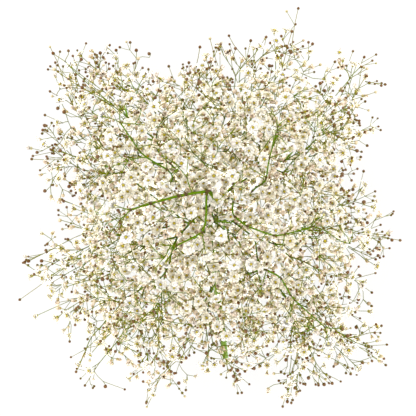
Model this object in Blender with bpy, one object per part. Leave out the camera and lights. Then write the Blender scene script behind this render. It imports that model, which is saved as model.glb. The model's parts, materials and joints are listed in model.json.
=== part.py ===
"""A cut stem of double white gypsophila, lying on a flat surface.

The short stem lies along the surface and then rises into the middle of the head. Sprays leave it in
pairs at its swollen nodes. Each spray forks again and again into finer twigs, and every twig ends in
a many-petalled bloom or a round bud. Metres, +Z up, with the origin under the middle of the head.
"""

import itertools
import math
import random

import bmesh
import bpy
import numpy as np
from mathutils import Vector, geometry
from mathutils.bvhtree import BVHTree

# Every length below is in millimetres; the meshes are made in metres.
MM = 0.001
SEED = 13

# The head: a low mound of blooms whose sprays fan out from its heart.
HEART = np.array([0.0, 0.0, 22.0])
HEAD_HEIGHT = 112.0
RIM_HEIGHT = 34.0
EDGE_OF_BLOOMS = 7.0
# How far the head reaches at each compass angle, in degrees anticlockwise from +X.
HEAD_REACH = {
    0: 100,
    13: 86,
    26: 107,
    42: 124,
    54: 114,
    66: 122,
    78: 93,
    90: 97,
    104: 78,
    116: 104,
    135: 127,
    146: 104,
    165: 105,
    178: 93,
    190: 103,
    206: 121,
    221: 115,
    235: 122,
    252: 118,
    271: 95,
    290: 120,
    304: 120,
    318: 136,
    331: 107,
    350: 108,
}
LOBE_ANGLES = (42, 66, 90, 135, 165, 206, 235, 252, 290, 304, 318, 350)

# The stem: places on its line with the stem's radius there, from the cut end up.
STEM_SIDES = 8
STEM_LINE = (
    ((9.0, -88.0), 1.75),
    ((5.5, -58.0), 1.70),
)
STEM_RISE = (
    ((3.0, -40.0, 3.4), 1.62),
    ((1.6, -27.0, 7.5), 1.55),
    ((0.6, -15.0, 13.5), 1.45),
    ((0.0, -6.0, 22.0), 1.35),
    ((0.0, -1.0, 33.0), 1.22),
    ((0.0, 1.0, 46.0), 1.08),
    ((0.0, 1.0, 59.0), 0.95),
    ((0.0, 0.5, 66.0), 0.85),
)
NODE_SWELLING = 0.62
NODE_LENGTH = 1.5

# The sprays: name, compass angle, elevation, and which rise point of the stem bears it.
SPRAYS = (
    ("rim_spray_1", 68, 8, 1),
    ("rim_spray_2", 112, 8, 1),
    ("rim_spray_3", 28, 8, 2),
    ("rim_spray_4", 152, 8, 2),
    ("rim_spray_5", -12, 8, 3),
    ("rim_spray_6", 192, 8, 3),
    ("rim_spray_7", -50, 8, 4),
    ("rim_spray_8", 230, 8, 4),
    ("rim_spray_9", 270, 10, 5),
    ("side_spray_1", 42, 40, 5),
    ("side_spray_2", 138, 40, 5),
    ("side_spray_3", 218, 42, 6),
    ("side_spray_4", 322, 42, 6),
    ("crown_spray_1", 90, 68, 6),
    ("crown_spray_2", 270, 80, 7),
)
RIM_SPRAYS = [spray for spray in SPRAYS if spray[0].startswith("rim")]
SEAT_GAP = 0.32
STUB_LENGTH = 2.6

# Blooms, buds and twigs.
BLOOMS = 326
INNER_BLOOMS = 82
BUDS = 64
BLOOM_RADIUS = 3.15
BLOOM_DEPTH = 1.7
BUD_RADIUS = 1.05
BLOOM_SPACING = 8.8
INNER_SPACING = 8.4
BUD_SPACING = 7.2
TWIG_RADIUS = 0.43
TWIG_GROWTH = 0.25
TWIG_CLEARANCE = 0.55
PETALS = 5
INNER_PETALS = 4
REST_FLAT = 0.12

# Leaves at the lower nodes of the stem: length, half width, half thickness.
LEAF_NODES = (1, 2, 3)
LEAF_SIZE = (13.0, 1.25, 0.42)
LEAF_RISE = 0.22


def unit(vector):
    return np.asarray(vector, float) / np.linalg.norm(vector)


def compass(azimuth, elevation=0.0):
    """The direction at a compass angle and an elevation, both in degrees."""
    a, e = math.radians(azimuth), math.radians(elevation)
    return np.array([math.cos(a) * math.cos(e), math.sin(a) * math.cos(e), math.sin(e)])


def across(direction):
    """Two unit vectors that make a right-handed set with the direction."""
    helper = (0, 0, 1) if abs(direction[2]) < 0.9 else (1, 0, 0)
    first = unit(np.cross(direction, helper))
    return first, np.cross(direction, first)


def head_reach(azimuth):
    return float(np.interp(azimuth, list(HEAD_REACH), list(HEAD_REACH.values()), period=360))


def head_top(share):
    """Height of the mound at a share of its reach."""
    return RIM_HEIGHT + (HEAD_HEIGHT - RIM_HEIGHT) * (1 - min(share, 1.0) ** 2.3) ** 0.62


def head_underside(share):
    return 3.4 + 13 * max(0.0, (share - 0.7) / 0.3) ** 1.5


# Stem


def stem_rings():
    """Centre, direction and radius of each ring of the stem, and the node each rise point makes."""
    lying = [np.array([*spot, radius * math.cos(math.pi / STEM_SIDES)]) for spot, radius in STEM_LINE]
    points = lying + [np.array(spot) for spot, _ in STEM_RISE]
    radii = [radius for _, radius in STEM_LINE + STEM_RISE]
    places, sizes = [points[0], points[1]], [radii[0], radii[1]]
    nodes = {}
    for i in range(1, len(points) - 1):
        before, here, there = points[i - 1], points[i], points[i + 1]
        after = points[min(i + 2, len(points) - 1)]
        span = np.linalg.norm(there - here)
        stops = (0.5, 1 - NODE_LENGTH / span, 1.0, 1 + NODE_LENGTH / span)
        for t in stops[: 4 if i + 1 < len(points) - 1 else 3]:
            bend = smooth_line(before, here, there, after, min(t, 1.0))
            if t > 1:
                bend = bend + (after - there) / np.linalg.norm(after - there) * NODE_LENGTH
            places.append(bend)
            sizes.append(radii[i] + (radii[i + 1] - radii[i]) * min(t, 1.0))
            if t == 1.0:
                nodes[i - 1] = len(places) - 1
    for index in list(nodes.values())[1:-1]:
        sizes[index] += NODE_SWELLING
    ways = [unit(places[min(i + 1, len(places) - 1)] - places[max(i - 1, 0)]) for i in range(len(places))]
    ways[1] = ways[0] = unit(places[1] - places[0])
    return places, ways, sizes, nodes


def smooth_line(before, start, end, after, t):
    """A point between start and end on the smooth curve through all four."""
    return 0.5 * (
        2 * start
        + (end - before) * t
        + (2 * before - 5 * start + 4 * end - after) * t**2
        + (3 * start - before - 3 * end + after) * t**3
    )


def stem_solid():
    """Points and faces of the stem's tube, with a flat facet along its underside."""
    places, ways, sizes, _ = stem_rings()
    points, faces = [], []
    for place, way, size in zip(places, ways, sizes):
        side = unit(np.cross(way, (0, 0, 1))) if abs(way[2]) < 0.98 else np.array([1.0, 0, 0])
        side = unit(side - way * np.dot(side, way))
        up = np.cross(side, way)
        for k in range(STEM_SIDES):
            angle = 2 * math.pi * (k + 0.5) / STEM_SIDES
            points.append(place + size * (math.cos(angle) * side + math.sin(angle) * up))
    for ring in range(len(places) - 1):
        for k in range(STEM_SIDES):
            a, b = ring * STEM_SIDES + k, ring * STEM_SIDES + (k + 1) % STEM_SIDES
            faces.append((b, a, a + STEM_SIDES, b + STEM_SIDES))
    last = len(points) - STEM_SIDES
    faces.append(tuple(range(STEM_SIDES)))
    faces.append(tuple(range(last + STEM_SIDES - 1, last - 1, -1)))
    return points, faces


def leaf_places():
    """Root, direction and normal of each leaf: a pair under the sprays of each leafy node."""
    places, ways, sizes, nodes = stem_rings()
    for node in LEAF_NODES:
        index = nodes[node]
        for name, azimuth, elevation, bearer in SPRAYS:
            if bearer == node:
                outward = seat_direction(azimuth, elevation, ways[index])
                root = places[index] - ways[index] * 2.3 + outward * (sizes[index] - 1.2)
                way = outward + 0.12 * ways[index]
                way[2] = max(way[2], LEAF_RISE)
                yield root, unit(way), ways[index]


def leaf_solid(root, way, normal):
    """A narrow pointed blade, arched a little, with a diamond section."""
    length, half_width, half_thickness = LEAF_SIZE
    across_leaf = unit(np.cross(normal, way))
    above = np.cross(way, across_leaf)
    points, faces = [], []
    stations = ((0.0, 0.55), (0.3, 0.9), (0.55, 1.0), (0.8, 0.62))
    for along, width in stations:
        centre = root + way * length * along - above * 1.6 * along**2
        points += [
            centre + across_leaf * half_width * width,
            centre + above * half_thickness,
            centre - across_leaf * half_width * width,
            centre - above * half_thickness,
        ]
    points.append(root + way * length - above * 1.9)
    for ring in range(len(stations) - 1):
        for k in range(4):
            a, b = ring * 4 + k, ring * 4 + (k + 1) % 4
            faces.append((b, a, a + 4, b + 4))
    last, tip = 4 * (len(stations) - 1), len(points) - 1
    faces += [(last + (k + 1) % 4, last + k, tip) for k in range(4)]
    faces.append((0, 1, 2, 3))
    return points, faces


# Where the blooms and buds stand


class Tip:
    """The bloom or bud that ends a twig."""

    def __init__(self, kind, place, rests=False, inside=False):
        self.kind = kind
        self.place = np.array(place, float)
        self.rests = rests
        self.inside = inside


def is_bloom(tip):
    return tip is not None and tip.kind == "bloom"


def clear_of(place, others, spacing):
    return not others or min(np.linalg.norm(np.array([t.place for t in others]) - place, axis=1)) > spacing


def clear_of_stem(place, distance):
    line = stem_rings()[0]
    return min(np.linalg.norm(np.array(line) - place, axis=1)) > distance


def lobe_buds():
    """A bud at the furthest reach of each lobe of the head."""
    for i, azimuth in enumerate(LOBE_ANGLES):
        reach = head_reach(azimuth)
        height = 17 + 9 * math.sin(2.4 * i)
        yield Tip("bud", [*(compass(azimuth)[:2] * reach), height])


def resting_blooms():
    """One low bloom in each rim spray, which the stem's head lies on."""
    for name, azimuth, _, _ in RIM_SPRAYS:
        reach = 0.7 * head_reach(azimuth)
        yield Tip("bloom", [*(compass(azimuth)[:2] * reach), BLOOM_RADIUS - 0.1], rests=True)


def scattered_blooms(rng, placed):
    blooms = [tip for tip in placed if is_bloom(tip)]
    while len(blooms) < BLOOMS:
        azimuth, share = rng.uniform(0, 360), rng.random() ** 0.63
        edge = head_reach(azimuth) * (1 - share)
        if edge < EDGE_OF_BLOOMS or rng.random() > 0.35 + 0.65 * (edge - EDGE_OF_BLOOMS) / 24:
            continue
        low, high = head_underside(share), head_top(share) - 5
        height = low + (high - low) * rng.random() ** 0.55
        place = np.array([*(compass(azimuth)[:2] * head_reach(azimuth) * share), height])
        core = np.linalg.norm((place - HEART) / (42, 42, 40))
        if core < 1 and rng.random() > 0.1:
            continue
        if clear_of(place, placed, BLOOM_SPACING) and clear_of_stem(place, 8.0):
            bloom = Tip("bloom", place)
            blooms.append(bloom)
            placed.append(bloom)


def scattered_buds(rng, placed):
    """Buds stand a little beyond the outer blooms, round the rim and over the top."""
    blooms = [tip for tip in placed if is_bloom(tip) and not tip.rests]
    count = sum(not is_bloom(tip) for tip in placed)
    while count < BUDS:
        bloom = rng.choice(blooms)
        outward = unit(bloom.place - HEART)
        wander = unit([rng.gauss(0, 1) for _ in range(3)])
        place = bloom.place + unit(outward + 0.9 * wander) * rng.uniform(7.6, 12)
        flat = np.linalg.norm(place[:2])
        share = flat / head_reach(math.degrees(math.atan2(place[1], place[0])))
        outer = share > 0.82 or place[2] > head_top(share) - 9
        if not outer or share > 0.99 or place[2] < 3 or place[2] > HEAD_HEIGHT + 2:
            continue
        if clear_of(place, placed, BUD_SPACING):
            placed.append(Tip("bud", place))
            count += 1


def inner_blooms(rng, placed):
    """Blooms under the outer ones, which fill the head right through."""
    count = 0
    while count < INNER_BLOOMS:
        azimuth, share = rng.uniform(0, 360), 0.84 * math.sqrt(rng.random())
        low, high = max(head_underside(share) + 2, 6), head_top(share) - 17
        height = low + (high - low) * rng.random()
        place = np.array([*(compass(azimuth)[:2] * head_reach(azimuth) * share), height])
        by_leaf = any(np.linalg.norm(root + way * 6 - place) < 13 for root, way, _ in leaf_places())
        if high < low or by_leaf:
            continue
        if clear_of(place, placed, INNER_SPACING) and clear_of_stem(place, 9.0):
            placed.append(Tip("bloom", place, inside=True))
            count += 1


def shared_out(tips):
    """The tips of each spray: those whose direction from the heart is nearest to its own."""
    aims = np.array([compass(azimuth, elevation) for _, azimuth, elevation, _ in SPRAYS])
    shares = [[] for _ in SPRAYS]
    for tip in tips:
        shares[int(np.argmax(aims @ unit(tip.place - HEART)))].append(tip)
    return shares


# How a spray grows


def twig_radius(tips):
    return TWIG_RADIUS * tips**TWIG_GROWTH


def gaps_between(start, end, starts, ends):
    """Shortest distance from one straight line to each of many."""
    d1, d2, r = end - start, ends - starts, start - starts
    a, e, f = d1 @ d1, np.einsum("ij,ij->i", d2, d2), np.einsum("ij,ij->i", d2, r)
    c, b = r @ d1, d2 @ d1
    e = np.maximum(e, 1e-9)
    spread = a * e - b * b
    s = np.clip(np.where(spread > 1e-9, (b * f - c * e) / np.maximum(spread, 1e-9), 0.0), 0, 1)
    t = (b * s + f) / e
    s = np.where(t < 0, np.clip(-c / a, 0, 1), np.where(t > 1, np.clip((b - c) / a, 0, 1), s))
    t = np.clip(t, 0, 1)
    return np.linalg.norm(start + s[:, None] * d1 - starts - t[:, None] * d2, axis=1)


class Crowd:
    """Everything that a new twig has to stay clear of, as thick lines and balls."""

    def __init__(self):
        self.starts, self.ends, self.radii, self.owners = [], [], [], []

    def add(self, start, end, radius, *owners):
        self.starts.append(start)
        self.ends.append(end)
        self.radii.append(radius)
        self.owners.append(owners)

    def clearance(self, start, end, radius, *owners):
        """Free space beside a twig from start to end, apart from what shares an owner with it."""
        kept = [i for i, names in enumerate(self.owners) if not any(o is n for o in owners for n in names)]
        gaps = gaps_between(start, end, np.array(self.starts)[kept], np.array(self.ends)[kept])
        return float(min(gaps - np.array(self.radii)[kept])) - radius


class Joint:
    """A point where a twig bends, forks or ends."""

    def __init__(self, place, parent=None, tip=None):
        self.place, self.parent, self.tip = place, parent, tip
        self.children = []
        self.weight = 1
        if parent:
            parent.children.append(self)

    def way_in(self):
        return unit(self.place - self.parent.place)


def grouped(place, tips):
    """The tips that each twig from a fork leads to: two groups, and a lone bloom in the fork."""
    if len(tips) <= 2:
        return [[tip] for tip in tips]
    spots = np.array([tip.place for tip in tips])
    away = np.linalg.norm(spots - place, axis=1)
    middle = unit(spots.mean(axis=0) - place)
    straight = (spots - place) @ middle / away
    lone = [i for i in range(len(tips)) if away[i] < 17 and straight[i] > 0.8]
    groups = []
    if lone and len(tips) > 4:
        chosen = min(lone, key=lambda i: away[i])
        groups.append([tips[chosen]])
        tips = tips[:chosen] + tips[chosen + 1 :]
        spots = np.delete(spots, chosen, axis=0)
    depth = (spots - place) @ middle
    views = (spots - place) * (depth.mean() / np.maximum(depth, 3.0))[:, None]
    spread = views + np.outer(0.5 * (depth - depth.mean()) - views @ middle, middle)
    spread = spread - spread.mean(axis=0)
    widest = np.linalg.eigh(spread.T @ spread)[1][:, -1]
    widest = widest * np.sign(widest[np.argmax(np.abs(widest))])
    order = np.argsort(spread @ widest, kind="stable")
    half = len(order) // 2
    groups.append([tips[i] for i in order[:half]])
    groups.append([tips[i] for i in order[half:]])
    return groups


def fork_place(joint, group, crowd, rng):
    """Where the twig to a group forks: on the way to its middle, and clear of everything else."""
    spots = np.array([tip.place for tip in group])
    middle = spots.mean(axis=0)
    distance = np.linalg.norm(middle - joint.place)
    spread = math.sqrt(((spots - middle) ** 2).sum(axis=1).mean())
    share = min(max(1 - (1.05 * spread + 2.5) / distance, 0.3), 0.78)
    best, best_score = None, -1e9
    for attempt in range(60):
        wander = 0 if attempt == 0 else (0.07 * distance + 0.9) * (1 + attempt / 15)
        place = joint.place + share * (middle - joint.place)
        place = place + wander * np.array([rng.uniform(-1, 1) for _ in range(3)])
        place[2] = max(place[2], 2.6)
        score = twig_score(joint, place, group, crowd)
        if score > best_score:
            best, best_score = place, score
        if score > TWIG_CLEARANCE:
            break
    return best


def twig_score(joint, place, group, crowd):
    """Free space beside the twig to a fork and beside the single twigs that leave it."""
    radius = twig_radius(len(group))
    score = crowd.clearance(joint.place, place, radius, joint)
    way = unit(place - joint.place)
    if np.linalg.norm(place - joint.place) < 4 + 5 * radius:
        score -= 2
    if joint.parent is not None and way @ joint.way_in() < 0.2:
        score -= 5
    for sibling in joint.children:
        if unit(sibling.place - joint.place) @ way > 0.88:
            score -= 5
    leaving = []
    for part in grouped(place, group):
        aim = unit(np.mean([tip.place for tip in part], axis=0) - place)
        if aim @ way < 0.12 or any(aim @ other > 0.88 for other in leaving):
            score -= 3
        leaving.append(aim)
        if len(part) == 1:
            reach = crowd.clearance(place, part[0].place, TWIG_RADIUS, joint, part[0])
            score = min(score, reach)
    return score


def branch_out(joint, tips, crowd, rng):
    """Gives a joint its twigs, and each twig's end its own in turn."""
    later = []
    for group in grouped(joint.place, tips):
        if len(group) == 1:
            child = Joint(group[0].place, joint, group[0])
        else:
            child = Joint(fork_place(joint, group, crowd, rng), joint)
            child.weight = len(group)
            later.append((child, group))
        owners = (joint, child, child.tip) if child.tip else (joint, child)
        crowd.add(joint.place, child.place, twig_radius(child.weight), *owners)
    for child, group in later:
        branch_out(child, group, crowd, rng)


def seat_direction(azimuth, elevation, stem_way):
    """The way a spray leaves the stem: square to it, on the side that the spray leans to."""
    aim = compass(azimuth, elevation)
    return unit(aim - stem_way * (aim @ stem_way))


def grown_sprays():
    """The root joint of every spray, by name."""
    rng = random.Random(SEED)
    tips = [*resting_blooms(), *lobe_buds()]
    scattered_blooms(rng, tips)
    scattered_buds(rng, tips)
    inner_blooms(rng, tips)
    crowd = Crowd()
    places, ways, sizes, nodes = stem_rings()
    for start, end, size in zip(places, places[1:], sizes):
        crowd.add(start, end, size + NODE_SWELLING, "stem")
    for root, way, normal in leaf_places():
        crowd.add(root, root + way * LEAF_SIZE[0], 2.0, "leaf")
    for tip in tips:
        crowd.add(tip.place, tip.place, BLOOM_RADIUS + 0.15 if is_bloom(tip) else BUD_RADIUS + 0.2, tip)
    roots = {}
    for (name, azimuth, elevation, bearer), share in zip(SPRAYS, shared_out(tips)):
        index = nodes[bearer]
        tip_end = bearer == len(STEM_RISE) - 1
        outward = ways[index] if tip_end else seat_direction(azimuth, elevation, ways[index])
        seat = places[index] + outward * (SEAT_GAP + (0 if tip_end else sizes[index]))
        root = Joint(seat)
        root.weight = len(share)
        root.outward = outward
        stub = Joint(seat + outward * STUB_LENGTH, root)
        stub.weight = len(share)
        roots[name] = (root, stub, share)
        crowd.add(seat, stub.place, twig_radius(len(share)), root, stub)
    for name, (root, stub, share) in roots.items():
        first = Joint(fork_place(stub, share, crowd, rng), stub)
        first.weight = len(share)
        crowd.add(stub.place, first.place, twig_radius(len(share)), stub, first)
        branch_out(first, share, crowd, rng)
    return {name: root for name, (root, _, _) in roots.items()}


# A spray's solid


class Mesh:
    """Points and triangles, with the finish of each triangle and the joint that its twig ends at."""

    def __init__(self):
        self.points, self.faces, self.finishes, self.joints = [], [], [], []
        self.joint = None

    def ring(self, centre, frame, radius, angles):
        """Adds points round a centre and gives their numbers."""
        first, second = frame
        for angle in angles:
            self.points.append(centre + radius * (math.cos(angle) * first + math.sin(angle) * second))
        return list(range(len(self.points) - len(angles), len(self.points)))

    def face(self, a, b, c, finish):
        self.faces.append((a, b, c))
        self.finishes.append(finish)
        self.joints.append(self.joint)

    def tube(self, start, end, finish):
        """Joins two rings of three points, turned to twist as little as they can."""
        near = np.array([self.points[i] for i in start])
        far = np.array([self.points[i] for i in end])
        gap = near.mean(axis=0) - far.mean(axis=0)
        twists = [np.linalg.norm(near - gap - np.roll(far, -k, axis=0), axis=1).sum() for k in range(3)]
        turn = twists.index(min(twists))
        end = end[turn:] + end[:turn]
        far = np.roll(far, -turn, axis=0)
        rising = np.linalg.norm(near - np.roll(far, -1, axis=0), axis=1).sum()
        falling = np.linalg.norm(np.roll(near, -1, axis=0) - far, axis=1).sum()
        for k in range(3):
            a, b, c, d = start[k], start[(k + 1) % 3], end[(k + 1) % 3], end[k]
            if rising < falling:
                self.face(a, b, c, finish)
                self.face(a, c, d, finish)
            else:
                self.face(a, b, d, finish)
                self.face(b, c, d, finish)

    def zip(self, lower, low_angles, upper, high_angles, finish):
        """Joins two rings round one axis whose points differ in number, in order of angle."""
        turn = 2 * math.pi
        begin = low_angles[0]
        away = [(angle - begin + math.pi) % turn - math.pi for angle in high_angles]
        first = min(range(len(upper)), key=lambda j: abs(away[j]))
        upper = upper[first:] + upper[:first]
        low = [(angle - begin) % turn for angle in low_angles] + [turn]
        high = [(angle - high_angles[first]) % turn + away[first] for angle in high_angles]
        high = high[first:] + high[:first] + [turn + away[first]]
        i = j = 0
        while i < len(lower) or j < len(upper):
            a, b = lower[i % len(lower)], upper[j % len(upper)]
            if j >= len(upper) or (i < len(lower) and low[i + 1] < high[j + 1]):
                i += 1
                self.face(a, lower[i % len(lower)], b, finish)
            else:
                j += 1
                self.face(a, upper[j % len(upper)], b, finish)

    def cap(self, ring, centre, finish):
        """Closes a ring with a point that stands over it."""
        self.points.append(centre)
        top = len(self.points) - 1
        for k in range(len(ring)):
            self.face(ring[k], ring[(k + 1) % len(ring)], top, finish)


GREEN, WHITE, BROWN = range(3)
THIRDS = [2 * math.pi * k / 3 for k in range(3)]


def facing(tip, way):
    """The way that a bloom or bud looks: on from its twig, and a little outwards."""
    outward = unit(tip.place - HEART)
    if tip.rests:
        return unit(way + 0.5 * compass(math.degrees(math.atan2(outward[1], outward[0]))))
    return unit(0.8 * way + 0.4 * outward + np.array([0, 0, 0.3]))


def add_bloom(mesh, joint, rng):
    """Five outer petals, four inner ones raised over them, and a sunk centre. Returns its neck."""
    axis = facing(joint.tip, joint.way_in())
    frame = across(axis)
    centre = joint.place
    roll = rng.uniform(0, 2 * math.pi)
    if joint.tip.rests:
        down = np.array([0, 0, -1.0])
        roll = math.atan2(down @ frame[1], down @ frame[0])
    if joint.tip.inside:
        return add_inner_bloom(mesh, centre, axis, frame, roll)
    begin = len(mesh.points)
    neck_angles = [roll + a for a in THIRDS]
    neck = mesh.ring(centre - BLOOM_DEPTH * axis, frame, TWIG_RADIUS, neck_angles)
    step = math.pi / PETALS
    rim, rim_angles = [], []
    for k in range(2 * PETALS):
        angle = roll + k * step
        radius, rise = (BLOOM_RADIUS * rng.uniform(0.94, 1.0), 0.2) if k % 2 == 0 else (2.85, 0.45)
        rim += mesh.ring(centre + rise * axis, frame, radius, [angle])
        rim_angles.append(angle)
    inner_angles = [roll + step + 2 * math.pi * k / INNER_PETALS for k in range(INNER_PETALS)]
    inner = mesh.ring(centre + 1.4 * axis, frame, 1.7, inner_angles)
    mesh.zip(neck, neck_angles, rim, rim_angles, WHITE)
    mesh.zip(rim, rim_angles, inner, inner_angles, WHITE)
    mesh.cap(inner, centre + 0.75 * axis, WHITE)
    if joint.tip.rests:
        sink = min(point[2] for point in mesh.points[begin:]) + REST_FLAT
        for i in range(begin, len(mesh.points)):
            mesh.points[i] = mesh.points[i] - np.array([0, 0, sink])
    return neck


def add_inner_bloom(mesh, centre, axis, frame, roll):
    """A plainer bloom with five petals in one round. Returns its neck."""
    angles = [roll + 2 * math.pi * k / PETALS for k in range(PETALS)]
    neck = mesh.ring(centre - BLOOM_DEPTH * axis, frame, TWIG_RADIUS, THIRDS)
    rim = mesh.ring(centre + 0.3 * axis, frame, BLOOM_RADIUS, angles)
    mesh.zip(neck, THIRDS, rim, angles, WHITE)
    mesh.cap(rim, centre + 1.0 * axis, WHITE)
    return neck


def add_bud(mesh, joint):
    """A round bud with four sides. Returns its neck."""
    axis = facing(joint.tip, joint.way_in())
    frame = across(axis)
    quarters = [math.pi * k / 2 for k in range(4)]
    neck = mesh.ring(joint.place - BUD_RADIUS * axis, frame, TWIG_RADIUS, THIRDS)
    belly = mesh.ring(joint.place, frame, BUD_RADIUS, quarters)
    mesh.zip(neck, THIRDS, belly, quarters, BROWN)
    mesh.cap(belly, joint.place + 1.15 * BUD_RADIUS * axis, BROWN)
    return neck


def fork_faces(way_in, ways_out):
    """How far a fork's base is turned, and which of its three sides each twig leaves from."""
    first, second = across(way_in)
    best, best_score = None, -1e9
    for turn in range(0, 120, 10):
        sides = []
        for k in range(3):
            angle = math.radians(turn + 60 + 120 * k)
            sides.append(0.53 * way_in + 0.85 * (math.cos(angle) * first + math.sin(angle) * second))
        for chosen in itertools.permutations(range(3), len(ways_out)):
            fits = [sides[side] @ way for side, way in zip(chosen, ways_out)]
            score = sum(fits) + 2 * min(fits)
            if score > best_score:
                best, best_score = (math.radians(turn), chosen), score
    return best


def grow_solid(mesh, joint, opening, rng):
    """Adds the twig that ends at a joint, from the three-sided opening it leaves, and all beyond it."""
    mesh.joint = joint
    if joint.tip is not None:
        neck = add_bloom(mesh, joint, rng) if is_bloom(joint.tip) else add_bud(mesh, joint)
        mesh.tube(opening, neck, GREEN)
        return
    way_in = joint.way_in()
    radius = twig_radius(joint.weight)
    ways_out = [unit(child.place - joint.place) for child in joint.children]
    if len(ways_out) == 1:
        middle = unit(way_in + ways_out[0])
        ring = mesh.ring(joint.place, across(middle), radius, THIRDS)
        mesh.tube(opening, ring, GREEN)
        grow_solid(mesh, joint.children[0], ring, rng)
        return
    turn, chosen = fork_faces(way_in, ways_out)
    base = mesh.ring(joint.place - 0.2 * radius * way_in, across(way_in), radius, [turn + a for a in THIRDS])
    mesh.points.append(joint.place + 0.6 * radius * way_in)
    apex = len(mesh.points) - 1
    mesh.tube(opening, base, GREEN)
    for side in range(3):
        if side not in chosen:
            mesh.face(base[side], base[(side + 1) % 3], apex, GREEN)
    for child, side in zip(joint.children, chosen):
        grow_solid(mesh, child, [base[side], base[(side + 1) % 3], apex], rng)


def runs_through(first, second, shared):
    """Whether two triangles cross anywhere but at a corner that they share."""
    for one, other in ((first, second), (second, first)):
        for k in range(3):
            start, edge = one[k], one[(k + 1) % 3] - one[k]
            hit = geometry.intersect_ray_tri(*other, edge, start, True)
            if hit is None or not 0 <= (hit - start).dot(edge) / edge.dot(edge) <= 1:
                continue
            if all((hit - corner).length > 0.001 for corner in shared):
                return True
    return False


def crossing_twigs(mesh):
    """The joints of the first two twigs found that run through each other, or nothing."""
    points = [Vector(point) for point in mesh.points]
    tree = BVHTree.FromPolygons(points, mesh.faces, epsilon=0.0)
    for i, j in sorted(tree.overlap(tree)):
        shared = set(mesh.faces[i]) & set(mesh.faces[j])
        if i >= j or len(shared) > 1:
            continue
        first, second = ([points[k] for k in mesh.faces[face]] for face in (i, j))
        if runs_through(first, second, [points[k] for k in shared]):
            return mesh.joints[i], mesh.joints[j]
    return None


def leave_out(joint):
    """Takes a twig off its fork, and the fork too if nothing is left on it."""
    joint.parent.children.remove(joint)
    if not joint.parent.children:
        leave_out(joint.parent)


def spray_solid(root):
    """The spray's mesh, without the few twigs that would run through others."""
    while True:
        mesh, rng = Mesh(), random.Random(SEED)
        seat = mesh.ring(root.place, across(root.outward), twig_radius(root.weight), THIRDS)
        mesh.face(seat[0], seat[2], seat[1], GREEN)
        grow_solid(mesh, root.children[0], seat, rng)
        for point in mesh.points:
            point[2] = max(point[2], 0.0)
        crossing = crossing_twigs(mesh)
        if crossing is None:
            return mesh
        leave_out(min(crossing, key=lambda joint: (joint.weight, is_bloom(joint.tip))))


# Blender objects

FINISHES = {
    "twig_green": ((0.16, 0.27, 0.05), 0.55),
    "petal_white": ((0.90, 0.88, 0.80), 0.6),
    "bud_brown": ((0.28, 0.21, 0.12), 0.6),
    "stem_green": ((0.13, 0.26, 0.05), 0.5),
}


def finish(name):
    """A plain material, made once and shared."""
    material = bpy.data.materials.get(name)
    if material is None:
        colour, roughness = FINISHES[name]
        material = bpy.data.materials.new(name)
        material.use_nodes = True
        shader = material.node_tree.nodes["Principled BSDF"]
        shader.inputs["Base Color"].default_value = (*colour, 1.0)
        shader.inputs["Roughness"].default_value = roughness
        shader.inputs["Metallic"].default_value = 0.0
    return material


def add_object(name, points, faces, finishes, slots, collection=None):
    """An object made of points in millimetres, with a material slot for each finish."""
    mesh = bpy.data.meshes.new(name)
    mesh.from_pydata([tuple(point * MM) for point in points], [], faces)
    for slot in slots:
        mesh.materials.append(finish(slot))
    mesh.polygons.foreach_set("material_index", finishes)
    mesh.update()
    obj = bpy.data.objects.new(name, mesh)
    (collection or bpy.context.scene.collection).objects.link(obj)
    return obj


def face_outwards(obj):
    shape = bmesh.new()
    shape.from_mesh(obj.data)
    bmesh.ops.recalc_face_normals(shape, faces=shape.faces)
    shape.to_mesh(obj.data)
    shape.free()


def add_stem(offset):
    """The stem, with its leaves joined to it by one Boolean union."""
    points, faces = stem_solid()
    stem = add_object("stem", [p + offset for p in points], faces, [0] * len(faces), ["stem_green"])
    face_outwards(stem)
    leaves = bpy.data.collections.new("leaves")
    bpy.context.scene.collection.children.link(leaves)
    for i, place in enumerate(leaf_places()):
        points, faces = leaf_solid(*place)
        leaf = add_object(
            f"leaf_{i}", [p + offset for p in points], faces, [0] * len(faces), ["stem_green"], leaves
        )
        face_outwards(leaf)
    union = stem.modifiers.new("join leaves", "BOOLEAN")
    union.operation = "UNION"
    union.operand_type = "COLLECTION"
    union.collection = leaves
    union.solver = "MANIFOLD"
    bpy.context.view_layer.update()
    joined = bpy.data.meshes.new_from_object(stem.evaluated_get(bpy.context.evaluated_depsgraph_get()))
    stem.modifiers.clear()
    stem.data = joined
    joined.name = "stem"
    for leaf in list(leaves.objects):
        bpy.data.objects.remove(leaf)
    bpy.data.collections.remove(leaves)
    stem.data.shade_smooth()
    stem.data.set_sharp_from_angle(angle=math.radians(50))


def main():
    for old in list(bpy.data.objects):
        bpy.data.objects.remove(old)
    solids = {name: spray_solid(root) for name, root in grown_sprays().items()}
    everything = np.concatenate([mesh.points for mesh in solids.values()] + [stem_solid()[0]])
    middle = (everything.min(axis=0) + everything.max(axis=0)) / 2
    offset = np.array([-middle[0], -middle[1], 0.0])
    add_stem(offset)
    for name, mesh in solids.items():
        slots = ["twig_green", "petal_white", "bud_brown"]
        add_object(name, np.array(mesh.points) + offset, mesh.faces, mesh.finishes, slots)


main()
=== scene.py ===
"""A cut stem of double white gypsophila, lying on a pale floor and seen from straight above.

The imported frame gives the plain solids. This script grows the same stem again from the same rules,
and dresses it: fine smooth twigs in place of the three-sided ones, blooms of some thirty petals,
smaller blooms that fill the head, half-open blooms, small buds on side shoots, upper stems, leaves,
bracts and swollen nodes.
"""

import functools
import itertools
import json
import math
import random

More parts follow.
